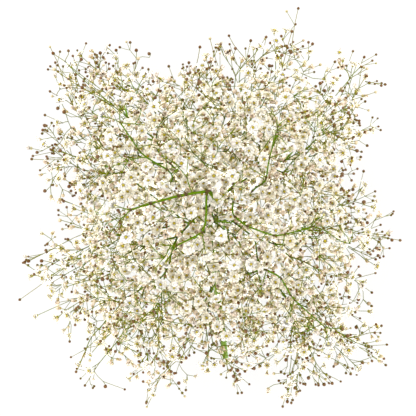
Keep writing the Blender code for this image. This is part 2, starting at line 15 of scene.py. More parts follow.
import bmesh
import bpy
import numpy as np
from bpy.props import FloatProperty, FloatVectorProperty, IntProperty, PointerProperty
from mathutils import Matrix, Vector

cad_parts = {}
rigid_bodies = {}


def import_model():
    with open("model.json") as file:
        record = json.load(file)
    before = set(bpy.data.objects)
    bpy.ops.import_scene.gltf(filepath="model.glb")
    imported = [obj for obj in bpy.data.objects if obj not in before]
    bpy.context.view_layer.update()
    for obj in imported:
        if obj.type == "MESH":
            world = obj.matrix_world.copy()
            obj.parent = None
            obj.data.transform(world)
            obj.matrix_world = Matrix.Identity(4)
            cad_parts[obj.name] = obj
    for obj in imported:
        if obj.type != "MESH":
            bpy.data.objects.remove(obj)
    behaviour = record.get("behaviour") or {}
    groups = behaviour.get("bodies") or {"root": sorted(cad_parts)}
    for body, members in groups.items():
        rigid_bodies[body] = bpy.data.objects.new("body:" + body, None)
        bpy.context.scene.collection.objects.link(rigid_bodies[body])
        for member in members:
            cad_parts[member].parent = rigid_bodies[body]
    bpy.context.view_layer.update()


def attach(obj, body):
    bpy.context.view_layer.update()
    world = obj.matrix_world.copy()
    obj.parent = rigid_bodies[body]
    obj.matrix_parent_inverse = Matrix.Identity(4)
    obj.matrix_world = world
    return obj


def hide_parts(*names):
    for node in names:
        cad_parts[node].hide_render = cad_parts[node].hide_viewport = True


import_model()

bl_info = {
    "name": "Gypsophila Stem",
    "version": (1, 0, 0),
    "blender": (4, 5, 0),
    "location": "3D View > Sidebar > Gypsophila",
    "description": "Dresses the packed gypsophila stem with petals, buds, twigs and leaves",
    "category": "Object",
}

# Lengths in the growing rules are in millimetres; finished meshes are in metres.
MM = 0.001
SEED = 13

# The head: a low mound of blooms whose sprays fan out from its heart.
HEART = np.array([0.0, 0.0, 22.0])
HEAD_HEIGHT = 112.0
RIM_HEIGHT = 34.0
EDGE_OF_BLOOMS = 7.0
# How far the head reaches at each compass angle, in degrees anticlockwise from +X.
HEAD_REACH = {
    0: 100, 13: 86, 26: 107, 42: 124, 54: 114, 66: 122, 78: 93, 90: 97, 104: 78, 116: 104, 135: 127,
    146: 104, 165: 105, 178: 93, 190: 103, 206: 121, 221: 115, 235: 122, 252: 118, 271: 95, 290: 120,
    304: 120, 318: 136, 331: 107, 350: 108,
}
LOBE_ANGLES = (42, 66, 90, 135, 165, 206, 235, 252, 290, 304, 318, 350)

# The stem: places on its line with the stem's radius there, from the cut end up.
STEM_SIDES = 8
STEM_LINE = (((9.0, -88.0), 1.75), ((5.5, -58.0), 1.70))
STEM_RISE = (
    ((3.0, -40.0, 3.4), 1.62), ((1.6, -27.0, 7.5), 1.55), ((0.6, -15.0, 13.5), 1.45),
    ((0.0, -6.0, 22.0), 1.35), ((0.0, -1.0, 33.0), 1.22), ((0.0, 1.0, 46.0), 1.08),
    ((0.0, 1.0, 59.0), 0.95), ((0.0, 0.5, 66.0), 0.85),
)
NODE_SWELLING = 0.62
NODE_LENGTH = 1.5

# The sprays: name, compass angle, elevation, and which rise point of the stem bears it.
SPRAYS = (
    ("rim_spray_1", 68, 8, 1), ("rim_spray_2", 112, 8, 1), ("rim_spray_3", 28, 8, 2),
    ("rim_spray_4", 152, 8, 2), ("rim_spray_5", -12, 8, 3), ("rim_spray_6", 192, 8, 3),
    ("rim_spray_7", -50, 8, 4), ("rim_spray_8", 230, 8, 4), ("rim_spray_9", 270, 10, 5),
    ("side_spray_1", 42, 40, 5), ("side_spray_2", 138, 40, 5), ("side_spray_3", 218, 42, 6),
    ("side_spray_4", 322, 42, 6), ("crown_spray_1", 90, 68, 6), ("crown_spray_2", 270, 80, 7),
)
RIM_SPRAYS = [spray for spray in SPRAYS if spray[0].startswith("rim")]
SEAT_GAP = 0.32
STUB_LENGTH = 2.6

# Blooms, buds and twigs.
BLOOMS = 326
INNER_BLOOMS = 82
BUDS = 64
BLOOM_RADIUS = 3.15
BLOOM_DEPTH = 1.7
BUD_RADIUS = 1.05
BLOOM_SPACING = 8.8
INNER_SPACING = 8.4
BUD_SPACING = 7.2
TWIG_RADIUS = 0.43
TWIG_GROWTH = 0.25
TWIG_CLEARANCE = 0.55

# Where blooms are few: near the outline, and in the core round the stem.
EDGE_FADE = 24
EDGE_SHARE = 0.35
CORE_RADII = (42, 42, 40)
CORE_SHARE = 0.1
STEM_CLEARANCE = {"outer": 8.0, "inner": 9.0, "leaf": 13}

# How twigs fork: how many places are tried, the smallest angles, as cosines, and what a fork that
# breaks a rule costs.
FORK_TRIES = 60
LOWEST_FORK = 2.6
LONE_REACH = 17
SAME_WAY = 0.88
SHARPEST_BEND = 0.2
SHARPEST_FORK = 0.12
SHORT_COST, FORK_COST, BEND_COST = 2, 3, 5

# Leaves at the lower nodes of the stem: length, half width, half thickness.
LEAF_NODES = (1, 2, 3)
LEAF_SIZE = (13.0, 1.25, 0.42)
LEAF_RISE = 0.22


def unit(vector):
    return np.asarray(vector, float) / np.linalg.norm(vector)


def compass(azimuth, elevation=0.0):
    """The direction at a compass angle and an elevation, both in degrees."""
    a, e = math.radians(azimuth), math.radians(elevation)
    return np.array([math.cos(a) * math.cos(e), math.sin(a) * math.cos(e), math.sin(e)])


def bearing(place):
    """The compass angle of a place, in degrees."""
    return math.degrees(math.atan2(place[1], place[0]))


def spot_at(azimuth, reach, height, share=1.0):
    return [*(compass(azimuth)[:2] * reach * share), height]


def across(direction):
    """Two unit vectors that make a right-handed set with the direction."""
    helper = (0, 0, 1) if abs(direction[2]) < 0.9 else (1, 0, 0)
    first = unit(np.cross(direction, helper))
    return first, np.cross(direction, first)


def head_reach(azimuth):
    """How far the head reaches at an angle, between the listed ones."""
    return float(np.interp(azimuth, list(HEAD_REACH), list(HEAD_REACH.values()), period=360))


def rim_share(place):
    """How far a place is from the middle of the head (0) to its rim (1), seen from above."""
    return math.hypot(place[0], place[1]) / head_reach(bearing(place))


def head_top(share):
    """Height of the mound at a share of its reach."""
    return RIM_HEIGHT + (HEAD_HEIGHT - RIM_HEIGHT) * (1 - min(share, 1.0) ** 2.3) ** 0.62


def head_underside(share):
    """Height of the lowest blooms at a share of the head's reach."""
    return 3.4 + 13 * max(0.0, (share - 0.7) / 0.3) ** 1.5


# Stem


@functools.cache
def stem_rings():
    """Centre, direction and radius of each ring of the stem, and the node each rise point makes."""
    lying = [np.array([*spot, radius * math.cos(math.pi / STEM_SIDES)]) for spot, radius in STEM_LINE]
    points = lying + [np.array(spot) for spot, _ in STEM_RISE]
    radii = [radius for _, radius in STEM_LINE + STEM_RISE]
    places, sizes = [points[0], points[1]], [radii[0], radii[1]]
    nodes = {}
    for i in range(1, len(points) - 1):
        before, here, there = points[i - 1], points[i], points[i + 1]
        after = points[min(i + 2, len(points) - 1)]
        span = np.linalg.norm(there - here)
        stops = (0.5, 1 - NODE_LENGTH / span, 1.0, 1 + NODE_LENGTH / span)
        for t in stops[: 4 if i + 1 < len(points) - 1 else 3]:
            bend = smooth_line(before, here, there, after, min(t, 1.0))
            if t > 1:
                bend = bend + unit(after - there) * NODE_LENGTH
            places.append(bend)
            sizes.append(radii[i] + (radii[i + 1] - radii[i]) * min(t, 1.0))
            if t == 1.0:
                nodes[i - 1] = len(places) - 1
    for index in list(nodes.values())[1:-1]:
        sizes[index] += NODE_SWELLING
    last = len(places) - 1
    ways = [unit(places[min(i + 1, last)] - places[max(i - 1, 0)]) for i in range(last + 1)]
    ways[1] = ways[0] = unit(places[1] - places[0])
    return places, ways, sizes, nodes


def smooth_line(before, start, end, after, t):
    """A point between start and end on the smooth curve through all four."""
    return 0.5 * (
        2 * start
        + (end - before) * t
        + (2 * before - 5 * start + 4 * end - after) * t**2
        + (3 * start - before - 3 * end + after) * t**3
    )


def leaf_places():
    """Root, direction and normal of each leaf: a pair under the sprays of each leafy node."""
    places, ways, sizes, nodes = stem_rings()
    for node in LEAF_NODES:
        index = nodes[node]
        for _, azimuth, elevation, bearer in SPRAYS:
            if bearer == node:
                outward = seat_direction(azimuth, elevation, ways[index])
                root = places[index] - ways[index] * 2.3 + outward * (sizes[index] - 1.2)
                way = outward + 0.12 * ways[index]
                way[2] = max(way[2], LEAF_RISE)
                yield root, unit(way), ways[index]


# Where the blooms and buds stand


class Tip:
    """The bloom or bud that ends a twig."""

    def __init__(self, kind, place, rests=False):
        self.kind, self.place, self.rests = kind, np.array(place, float), rests


def is_bloom(tip):
    return tip is not None and tip.kind == "bloom"


def clear_of(place, others, spacing):
    """Whether a place is further than the spacing from all other tips."""
    spots = np.array([tip.place for tip in others])
    return not others or min(np.linalg.norm(spots - place, axis=1)) > spacing


def clear_of_stem(place, distance):
    return min(np.linalg.norm(np.array(stem_rings()[0]) - place, axis=1)) > distance


def lobe_buds():
    """A bud at the furthest reach of each lobe of the head."""
    for i, azimuth in enumerate(LOBE_ANGLES):
        yield Tip("bud", spot_at(azimuth, head_reach(azimuth), 17 + 9 * math.sin(2.4 * i)))


def resting_blooms():
    """One low bloom in each rim spray, which the stem's head lies on."""
    for _, azimuth, _, _ in RIM_SPRAYS:
        yield Tip("bloom", spot_at(azimuth, 0.7 * head_reach(azimuth), BLOOM_RADIUS - 0.1), rests=True)


def scattered_blooms(rng, placed):
    """The outer blooms, thinner towards the outline and in the core of the head."""
    count = sum(is_bloom(tip) for tip in placed)
    while count < BLOOMS:
        azimuth, share = rng.uniform(0, 360), rng.random() ** 0.63
        edge = head_reach(azimuth) * (1 - share)
        chance = EDGE_SHARE + (1 - EDGE_SHARE) * (edge - EDGE_OF_BLOOMS) / EDGE_FADE
        if edge < EDGE_OF_BLOOMS or rng.random() > chance:
            continue
        low, high = head_underside(share), head_top(share) - 5
        height = low + (high - low) * rng.random() ** 0.55
        place = np.array(spot_at(azimuth, head_reach(azimuth), height, share))
        core = np.linalg.norm((place - HEART) / CORE_RADII)
        if core < 1 and rng.random() > CORE_SHARE:
            continue
        if clear_of(place, placed, BLOOM_SPACING) and clear_of_stem(place, STEM_CLEARANCE["outer"]):
            placed.append(Tip("bloom", place))
            count += 1


def scattered_buds(rng, placed):
    """Buds stand a little beyond the outer blooms, round the rim and over the top."""
    blooms = [tip for tip in placed if is_bloom(tip) and not tip.rests]
    count = sum(not is_bloom(tip) for tip in placed)
    while count < BUDS:
        bloom = rng.choice(blooms)
        outward = unit(bloom.place - HEART)
        wander = unit([rng.gauss(0, 1) for _ in range(3)])
        place = bloom.place + unit(outward + 0.9 * wander) * rng.uniform(7.6, 12)
        share = rim_share(place)
        outer = share > 0.82 or place[2] > head_top(share) - 9
        if not outer or share > 0.99 or place[2] < 3 or place[2] > HEAD_HEIGHT + 2:
            continue
        if clear_of(place, placed, BUD_SPACING):
            placed.append(Tip("bud", place))
            count += 1


def inner_blooms(rng, placed):
    """Blooms under the outer ones, which fill the head right through."""
    count = 0
    while count < INNER_BLOOMS:
        azimuth, share = rng.uniform(0, 360), 0.84 * math.sqrt(rng.random())
        low, high = max(head_underside(share) + 2, 6), head_top(share) - 17
        height = low + (high - low) * rng.random()
        place = np.array(spot_at(azimuth, head_reach(azimuth), height, share))
        leaves = [root + way * 6 - place for root, way, _ in leaf_places()]
        if high < low or any(np.linalg.norm(gap) < STEM_CLEARANCE["leaf"] for gap in leaves):
            continue
        if clear_of(place, placed, INNER_SPACING) and clear_of_stem(place, STEM_CLEARANCE["inner"]):
            placed.append(Tip("bloom", place))
            count += 1


def shared_out(tips):
    """The tips of each spray: those whose direction from the heart is nearest to its own."""
    aims = np.array([compass(azimuth, elevation) for _, azimuth, elevation, _ in SPRAYS])
    shares = [[] for _ in SPRAYS]
    for tip in tips:
        shares[int(np.argmax(aims @ unit(tip.place - HEART)))].append(tip)
    return shares


# How a spray grows


def twig_radius(tips):
    """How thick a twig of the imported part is, by the number of tips that it bears."""
    return TWIG_RADIUS * tips**TWIG_GROWTH


def gaps_between(start, end, starts, ends):
    """Shortest distance from one straight line to each of many."""
    d1, d2, r = end - start, ends - starts, start - starts
    a, e, f = d1 @ d1, np.einsum("ij,ij->i", d2, d2), np.einsum("ij,ij->i", d2, r)
    c, b = r @ d1, d2 @ d1
    e = np.maximum(e, 1e-9)
    spread = a * e - b * b
    s = np.clip(np.where(spread > 1e-9, (b * f - c * e) / np.maximum(spread, 1e-9), 0.0), 0, 1)
    t = (b * s + f) / e
    s = np.where(t < 0, np.clip(-c / a, 0, 1), np.where(t > 1, np.clip((b - c) / a, 0, 1), s))
    t = np.clip(t, 0, 1)
    return np.linalg.norm(start + s[:, None] * d1 - starts - t[:, None] * d2, axis=1)


class Crowd:
    """Everything that a new twig has to stay clear of, as thick lines and balls."""

    def __init__(self):
        self.count, self.owned = 0, {}
        self.starts, self.ends, self.radii = np.zeros((4000, 3)), np.zeros((4000, 3)), np.zeros(4000)

    def add(self, start, end, radius, *owners):
        self.starts[self.count], self.ends[self.count], self.radii[self.count] = start, end, radius
        for owner in owners:
            self.owned.setdefault(id(owner), []).append(self.count)
        self.count += 1

    def clearance(self, start, end, radius, *owners):
        """Free space beside a twig from start to end, apart from what shares an owner with it."""
        kept = np.ones(self.count, bool)
        for owner in owners:
            kept[self.owned.get(id(owner), [])] = False
        kept = np.flatnonzero(kept)
        gaps = gaps_between(start, end, self.starts[kept], self.ends[kept])
        return float((gaps - self.radii[kept]).min()) - radius


class Joint:
    """A point where a twig bends, forks or ends."""

    def __init__(self, place, parent=None, tip=None):
        self.place, self.parent, self.tip = place, parent, tip
        self.children = []
        self.weight = 1
        if parent:
            parent.children.append(self)

    def way_in(self):
        return unit(self.place - self.parent.place)


def grouped(place, tips):
    """The tips that each twig from a fork leads to: two groups, and a lone bloom in the fork."""
    if len(tips) <= 2:
        return [[tip] for tip in tips]
    spots = np.array([tip.place for tip in tips])
    away = np.linalg.norm(spots - place, axis=1)
    middle = unit(spots.mean(axis=0) - place)
    straight = (spots - place) @ middle / away
    lone = [i for i in range(len(tips)) if away[i] < LONE_REACH and straight[i] > 0.8]
    groups = []
    if lone and len(tips) > 4:
        chosen = min(lone, key=lambda i: away[i])
        groups.append([tips[chosen]])
        tips = tips[:chosen] + tips[chosen + 1 :]
        spots = np.delete(spots, chosen, axis=0)
    depth = (spots - place) @ middle
    views = (spots - place) * (depth.mean() / np.maximum(depth, 3.0))[:, None]
    spread = views + np.outer(0.5 * (depth - depth.mean()) - views @ middle, middle)
    spread = spread - spread.mean(axis=0)
    widest = np.linalg.eigh(spread.T @ spread)[1][:, -1]
    widest = widest * np.sign(widest[np.argmax(np.abs(widest))])
    order = np.argsort(spread @ widest, kind="stable")
    half = len(order) // 2
    return groups + [[tips[i] for i in part] for part in (order[:half], order[half:])]


def fork_place(joint, group, crowd, rng):
    """Where the twig to a group forks: on the way to its middle, and clear of everything else."""
    spots = np.array([tip.place for tip in group])
    middle = spots.mean(axis=0)
    distance = np.linalg.norm(middle - joint.place)
    spread = math.sqrt(((spots - middle) ** 2).sum(axis=1).mean())
    share = min(max(1 - (1.05 * spread + 2.5) / distance, 0.3), 0.78)
    best, best_score = None, -1e9
    for attempt in range(FORK_TRIES):
        wander = 0 if attempt == 0 else (0.07 * distance + 0.9) * (1 + attempt / 15)
        place = joint.place + share * (middle - joint.place)
        place = place + wander * np.array([rng.uniform(-1, 1) for _ in range(3)])
        place[2] = max(place[2], LOWEST_FORK)
        score = twig_score(joint, place, group, crowd)
        if score > best_score:
            best, best_score = place, score
        if score > TWIG_CLEARANCE:
            break
    return best


def twig_score(joint, place, group, crowd):
    """Free space beside the twig to a fork and beside the single twigs that leave it."""
    radius = twig_radius(len(group))
    score = crowd.clearance(joint.place, place, radius, joint)
    way = unit(place - joint.place)
    if np.linalg.norm(place - joint.place) < 4 + 5 * radius:
        score -= SHORT_COST
    if joint.parent is not None and way @ joint.way_in() < SHARPEST_BEND:
        score -= BEND_COST
    for sibling in joint.children:
        if sibling.way_in() @ way > SAME_WAY:
            score -= BEND_COST
    leaving = []
    for part in grouped(place, group):
        aim = unit(np.mean([tip.place for tip in part], axis=0) - place)
        if aim @ way < SHARPEST_FORK or any(aim @ other > SAME_WAY for other in leaving):
            score -= FORK_COST
        leaving.append(aim)
        if len(part) == 1:
            score = min(score, crowd.clearance(place, part[0].place, TWIG_RADIUS, joint, part[0]))
    return score


def branch_out(joint, tips, crowd, rng):
    """Gives a joint its twigs, and each twig's end its own in turn."""
    later = []
    for group in grouped(joint.place, tips):
        if len(group) == 1:
            child = Joint(group[0].place, joint, group[0])
        else:
            child = Joint(fork_place(joint, group, crowd, rng), joint)
            child.weight = len(group)
            later.append((child, group))
        owners = (joint, child, child.tip) if child.tip else (joint, child)
        crowd.add(joint.place, child.place, twig_radius(child.weight), *owners)
    for child, group in later:
        branch_out(child, group, crowd, rng)


def seat_direction(azimuth, elevation, stem_way):
    """The way a spray leaves the stem: square to it, on the side that the spray leans to."""
    aim = compass(azimuth, elevation)
    return unit(aim - stem_way * (aim @ stem_way))


@functools.cache
def sprays():
    """The root joint of every spray, by name, grown once."""
    rng = random.Random(SEED)
    tips = [*resting_blooms(), *lobe_buds()]
    scattered_blooms(rng, tips)
    scattered_buds(rng, tips)
    inner_blooms(rng, tips)
    crowd = Crowd()
    places, ways, sizes, nodes = stem_rings()
    for start, end, size in zip(places, places[1:], sizes):
        crowd.add(start, end, size + NODE_SWELLING)
    for root, way, _ in leaf_places():
        crowd.add(root, root + way * LEAF_SIZE[0], 2.0)
    for tip in tips:
        radius = BLOOM_RADIUS + 0.15 if is_bloom(tip) else BUD_RADIUS + 0.2
        crowd.add(tip.place, tip.place, radius, tip)
    roots = {}
    for (name, azimuth, elevation, bearer), share in zip(SPRAYS, shared_out(tips)):
        index = nodes[bearer]
        at_end = bearer == len(STEM_RISE) - 1
        outward = ways[index] if at_end else seat_direction(azimuth, elevation, ways[index])
        root = Joint(places[index] + outward * (SEAT_GAP + (0 if at_end else sizes[index])))
        root.outward = outward
        stub = Joint(root.place + outward * STUB_LENGTH, root)
        root.weight = stub.weight = len(share)
        roots[name] = (root, stub, share)
        crowd.add(root.place, stub.place, twig_radius(len(share)), root, stub)
    for root, stub, share in roots.values():
        first = Joint(fork_place(stub, share, crowd, rng), stub)
        first.weight = len(share)
        crowd.add(stub.place, first.place, twig_radius(len(share)), stub, first)
        branch_out(first, share, crowd, rng)
    return {name: root for name, (root, _, _) in roots.items()}


def facing(tip, way):
    """The way that a bloom or bud looks: on from its twig, and a little outwards."""
    outward = unit(tip.place - HEART)
    if tip.rests:
        return unit(way + 0.5 * compass(bearing(outward)))
    return unit(0.8 * way + 0.4 * outward + np.array([0, 0, 0.3]))


# Sizes of the dressed parts, in millimetres.
HAIR_RADIUS = 0.16
TAPER = 0.30
TONES = ((1, 3, 8, 20), (0.62, 0.42, 0.2, 0.0))
PETAL_THICKNESS = 0.1
SMALL_DEPTH = BLOOM_DEPTH * 0.8
HALF_DEPTH = 1.5
FORM_COUNTS = {"bloom": 6, "small": 5, "half": 6, "bud": 4, "node": 2, "leaf": 3}
FORM_DEPTHS = {"bloom": BLOOM_DEPTH, "small": SMALL_DEPTH, "half": HALF_DEPTH, "bud": BUD_RADIUS}
INNER_RADII = {"small": BLOOM_RADIUS * 0.93, "half": 1.7, "bud": BUD_RADIUS}
BLOOM_SIZES = (0.92, 1.08)
HALF_SIZES = (0.7, 1.0)
BUD_SIZES = (0.58, 0.8)
TIP_BUD_SIZES = (0.7, 0.88)
INNER_SIZES = (0.86, 1.04)
STEM_ROUND = 24
LINE_SLACK = 0.34
ROOT_DEPTH = 1.2
SPRAY_LEAF = 9.0

# Shoots: their lengths, and the twigs that are thick enough for leaves or too thick for side shoots.
FORK_SHOOT = (5, 9)
SIDE_SHOOT = (6, 10)
BLOOM_SHOOT = (4.6, 9.0)
BUD_SHOOT = (3.6, 7.5)
LEAFY_WEIGHT = 9
LONG_TWIG = 14
SIDE_TRIES = 7

# How often each kind of shoot grows. A pair of rows gives a value by the share of the way to the rim.
FORK_SHOOT_SHARE = 0.75
FORK_HALF_SHARE = 0.55
HALF_SHARES = {"fork": 0.45, "bloom": 0.35, "bud": 0.12, "upper": 0.4, "upper end": 0.5, "top": 0.15}
HALF_FADE = ((0.6, 0.95), (1.0, 0.6))
SHOOT_SHARES = ((0.6, 0.95), (0.75, 0.4))
TRIPLE_SHARES = ((0.4, 0.9), (0.25, 0.4))
RIM_LENGTHENING = ((0.4, 0.9), (0.95, 1.7))
BUD_ROOM = ((0.4, 0.9), (1.2, 3.0))
BUD_GROWTH = ((0.4, 0.8), (0.82, 1.0))
LEAF_SHARE = 0.22

# Inner shoots: how many at most, how many places are tried, how long they are, how likely a place is
# by its share of the way to the rim, and how many end in a bloom or a half-open bloom.
FILL_SHOOTS = 880
FILL_TRIES = 14000
FILL_SHOOT = (5.0, 40.0)
FILL_SHARES = ((0.0, 0.45, 0.7, 0.95), (1.0, 0.85, 0.45, 0.05))
FILL_BLOOMS = ((0.0, 0.5, 0.9), (0.78, 0.72, 0.3))
FILL_HALVES = 0.2
FILL_SIDE_SHOOT = (4.0, 8.0)
COVER_RADII = {"bloom": 3.3, "small": 2.6, "half": 2.0, "bud": 1.2}
GAP_CELLS = 45
GAP_SHARES = ((0.45, 0.75), (1.0, 0.0))
GAP_LEVELS = (0.3, 0.5, 0.7, 0.85)

# How much painted shade the petals get, as a warm cream, by their depth under the head's top, how cream
# they are by their share of the way to the rim, how many buds are dark, and how far an inner bloom may nod to
# a side.
DEEP_PAINTED_SHADE = ((3, 26), (0.0, 1.0))
RIM_CREAM = ((0.55, 0.95), (0.0, 0.08))
DARK_BUDS = ((0.3, 0.9), (0.35, 0.85))
NOD = 1.5
GAP_NOD = 0.4

# Fine twigs over the top: how many are tried, their height over it, thickness and reach.
TOP_TWIGS = 230
TOP_BAND = (0.08, 0.68)
TOP_LIFT = (-2.0, 3.0)
TOP_RADIUS = 0.25
TOP_REACH = (4.0, 9.0)
TOP_TURNS = (-0.75, 0.0, 0.8)
TOP_SHARE = 0.8
TOP_SIDE_SHOOT = (3.5, 6.5)
TOP_BUD_SHOOT = (3.0, 6.0)

# Upper stems, as seen from above, from heart to rim: x, y and how far over the head's top, then the
# stem's radius and the ends of the shoots that leave it.
UPPER_STEMS = (
    (
        ((-1.5, 7.4, -1.0), (-15.0, 5.2, 0.5), (-28.7, 1.5, 0.0), (-38.6, -1.5, -2.0)),
        0.66, ((-22.0, -3.0), (3.0, 2.2)),
    ),
    (((-1.8, 6.4, -1.5), (-4.0, -12.4, 0.0), (-16.3, -18.8, -2.5)), 0.54, ((-2.5, -21.5),)),
    (
        ((11.9, -5.0, -2.0), (17.8, -9.4, 0.0), (30.7, -13.9, 0.5), (36.0, -13.4, 0.0), (50.5, -9.9, -3.0)),
        0.48, ((35.0, -19.5),),
    ),
    (
        ((27.2, -30.7, -2.0), (34.2, -34.7, 0.0), (41.0, -45.5, 0.5), (57.0, -60.0, -3.0)),
        0.44, ((24.0, -42.0), (38.0, -56.0)),
    ),
    (((-20.8, 17.8, -1.0), (-33.7, 26.2, 0.5), (-44.0, 41.0, -2.0)), 0.44, ((-21.5, 24.5), (-33.0, 40.0))),
    (((27.0, 14.0, -2.0), (28.5, 23.5, 0.5), (33.0, 39.0, -3.0)), 0.4, ((17.0, 20.0), (38.0, 27.0))),
)
UPPER_FOOT = 14.0
UPPER_THINNING = 0.35
UPPER_TIP = (9, 12)
UPPER_SHOOT = (7, 12)
UPPER_END_SHOOT = (5, 9)
UPPER_ENDS = (("small", 2.9), ("half", 1.7), ("bud", 1.0), ("bud", 0.0))

# The photograph's view, and the stage, in metres.
SENSOR = 36.0
PIXEL = 0.00056
VIEW_WIDTH = 416 * PIXEL
VIEW_PLANE = 0.025
CAMERA_DISTANCE = 0.60
FLOOR_SIZE = 6.0
FLOOR_DROP = 0.0003
FLOOR_COLOUR = (0.1, 0.1, 0.1)
FLOOR_GLOW = 0.81
SKY_STRENGTH = 1.79
LIGHT_COLOUR = (1.0, 0.988, 0.95)
SOFT_LIGHTS = (
    ("key_light", (-0.9, 0.9, 1.5), 0.9, 27.0),
    ("fill_light", (1.1, -0.8, 1.3), 1.2, 19.0),
    ("table_light", (0.0, 0.0, -0.0002), 0.6, 1.9),
    ("heart_light", (0.0, 0.0, -0.0001), 0.09, 0.16),
)

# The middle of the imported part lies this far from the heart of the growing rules.
GROWTH_SHIFT = np.array([1.1287, 0.6670, 0.0])
UP = np.array([0.0, 0.0, 1.0])


# Dressing a spray: curved twigs, side shoots, and where each small form stands


def bent_line(start, end, leave, arrive, steps):
    """Points on a smooth line that leaves and arrives in the ways given."""
    reach = LINE_SLACK * np.linalg.norm(end - start)
    a, b = start + leave * reach, end - arrive * reach
    t = np.linspace(0, 1, steps + 1)[:, None]
    return (1 - t) ** 3 * start + 3 * (1 - t) ** 2 * t * a + 3 * (1 - t) * t**2 * b + t**3 * end


class Room:
    """Keeps blooms and buds from growing into one another, on a coarse grid."""

    CELL = 8.0

    def __init__(self):
        self.cells = {}

    def cell(self, place):
        return tuple(int(c // self.CELL) for c in place)

    def add(self, place, radius):
        self.cells.setdefault(self.cell(place), []).append((place, radius))

    def free(self, place, radius):
        near = [(c - 1, c, c + 1) for c in self.cell(place)]
        for key in itertools.product(*near):
            for other, reach in self.cells.get(key, ()):
                gap = place - other
                if gap @ gap < (radius + reach) ** 2:
                    return False
        return True


class Dress:
    """Everything that one spray is dressed with; the room and the draws are shared by all."""

    def __init__(self, room, rng):
        self.room, self.rng, self.twigs = room, rng, []
        self.forms = {kind: [] for kind in FORM_COUNTS}

    def twig(self, points, radii, tones):
        """A twig along some points, with its radius and its tone at both ends."""
        share = np.linspace(0, 1, len(points))
        self.twigs.append((points, *(start + (end - start) * share for start, end in (radii, tones))))
        return self.twigs[-1]

    def form(self, kind, place, axis, size, tint, variant, roll):
        self.forms[kind].append((place, axis, size, tint, variant, roll))

    def flower(self, kind, place, axis, size):
        """A bloom, a half-open bloom or a bud, in a tint, a variant and a turn of its own; a petal's tint
        also carries painted shade by depth.
        """
        tint = (bud_tint if kind == "bud" else petal_tint)(place, self.rng)
        variant = self.rng.randrange(FORM_COUNTS[kind])
        self.form(kind, place, axis, size, tint, variant, self.rng.random() * 6)

    def node(self, place, way, size, bare=0, turn=None):
        """The swelling at a fork, with bracts or bare."""
        tint = self.rng.random()
        self.form("node", place, way, size, tint, bare, self.rng.random() * 6 if turn is None else turn)


def look_radius(weight):
    """A twig's radius by how many tips it bears."""
    return HAIR_RADIUS * weight**TAPER


def look_tone(weight):
    """How brown a twig is: fine pedicels are olive brown, thick twigs are fresh green."""
    return float(np.interp(weight, *TONES))


def inside(place, margin):
    """Whether a place lies in the head's outline and not far over its top."""
    share = rim_share(place)
    return place[2] > 1.4 and share < margin and place[2] < head_top(share) + 5


def side_way(along, turn, lean):
    """A way that leans off a twig at an angle, turned round it."""
    first, second = across(along)
    return unit(math.cos(lean) * along + math.sin(lean) * (math.cos(turn) * first + math.sin(turn) * second))


def bud_shoot(dress, start, way, length, radius, tone):
    """A pedicel that ends in a single bud, or forks into three small ones."""
    room, rng, share = dress.room, dress.rng, rim_share(start)
    length *= np.interp(share, *RIM_LENGTHENING)
    free = np.interp(share, *BUD_ROOM)
    end = start + way * length
    if rng.random() < np.interp(share, *TRIPLE_SHARES):
        fork = start + way * length * 0.55
        turn = rng.uniform(0, math.pi)
        ways = [unit(way + 0.3 * side_way(way, turn, 1.5))]
        ways += [side_way(way, turn + side, rng.uniform(0.6, 0.9)) for side in (0, math.pi)]
        ends = [fork + w * length * rng.uniform(0.42, 0.62) for w in ways]
        kept = [i for i, spot in enumerate(ends) if room.free(spot, free) and inside(spot, 1.03)]
        if len(kept) > 1:
            dress.twig(bent_line(start, fork, way, way, 2), (radius, radius * 0.9), (tone, tone + 0.1))
            dress.node(fork, way, radius * 0.9, 1, turn)
            for i in kept:
                place_bud(dress, fork, ends[i], ways[i], unit(ways[i] + 0.35 * way), radius * 0.85, tone)
            return True
    if not room.free(end, free) or not inside(end, 1.03):
        return False
    place_bud(dress, start, end, way, way, radius, tone)
    return True


def place_bud(dress, start, end, leave, aim, radius, tone):
    """A fine pedicel with the bud that it ends in."""
    size = dress.rng.uniform(*BUD_SIZES) * np.interp(rim_share(end), *BUD_GROWTH)
    line = bent_line(start, end - aim * BUD_RADIUS * size, leave, aim, 2)
    dress.twig(line, (radius, radius * 0.8), (tone, 0.85))
    dress.flower("bud", end, aim, size)
    dress.room.add(end, BUD_RADIUS * size)


def half_shoot(dress, start, way, length, radius, tone):
    """A pedicel that ends in a half-open bloom."""
    end = start + way * length
    size = dress.rng.uniform(*HALF_SIZES)
    if not dress.room.free(end, 2.0 * size) or not inside(end, 1.0):
        return False
    line = bent_line(start, end - way * HALF_DEPTH * size, way, way, 2)
    dress.twig(line, (radius, radius * 0.85), (tone, 0.55))
    dress.flower("half", end, way, size)
    dress.room.add(end, 1.75 * size)
    return True


def add_side_shoots(dress, place, along, weight, half_share, length):
    """A pair of shoots from one node of a twig, on opposite sides."""
    rng = dress.rng
    turn = rng.uniform(0, 2 * math.pi)
    radius, tone = look_radius(1) * 0.92, look_tone(1.5)
    grown = 0
    half_share = half_share * np.interp(rim_share(place), *HALF_FADE)
    shoot_share = np.interp(rim_share(place), *SHOOT_SHARES)
    for side in (0, math.pi):
        if rng.random() > shoot_share:
            continue
        for attempt in range(SIDE_TRIES):
            lean = rng.uniform(0.5, 0.95)
            round_it = turn + side + rng.uniform(-0.5, 0.5) * (1 + attempt)
            way = unit(side_way(along, round_it, lean) + 0.25 * unit(place - HEART))
            reach = rng.uniform(*length) * (1 - 0.06 * attempt)
            shoot = half_shoot if rng.random() < half_share else bud_shoot
            if shoot(dress, place, way, reach, radius, tone):
                grown += 1
                break
    if grown:
        dress.node(place, along, look_radius(weight), 0, turn)


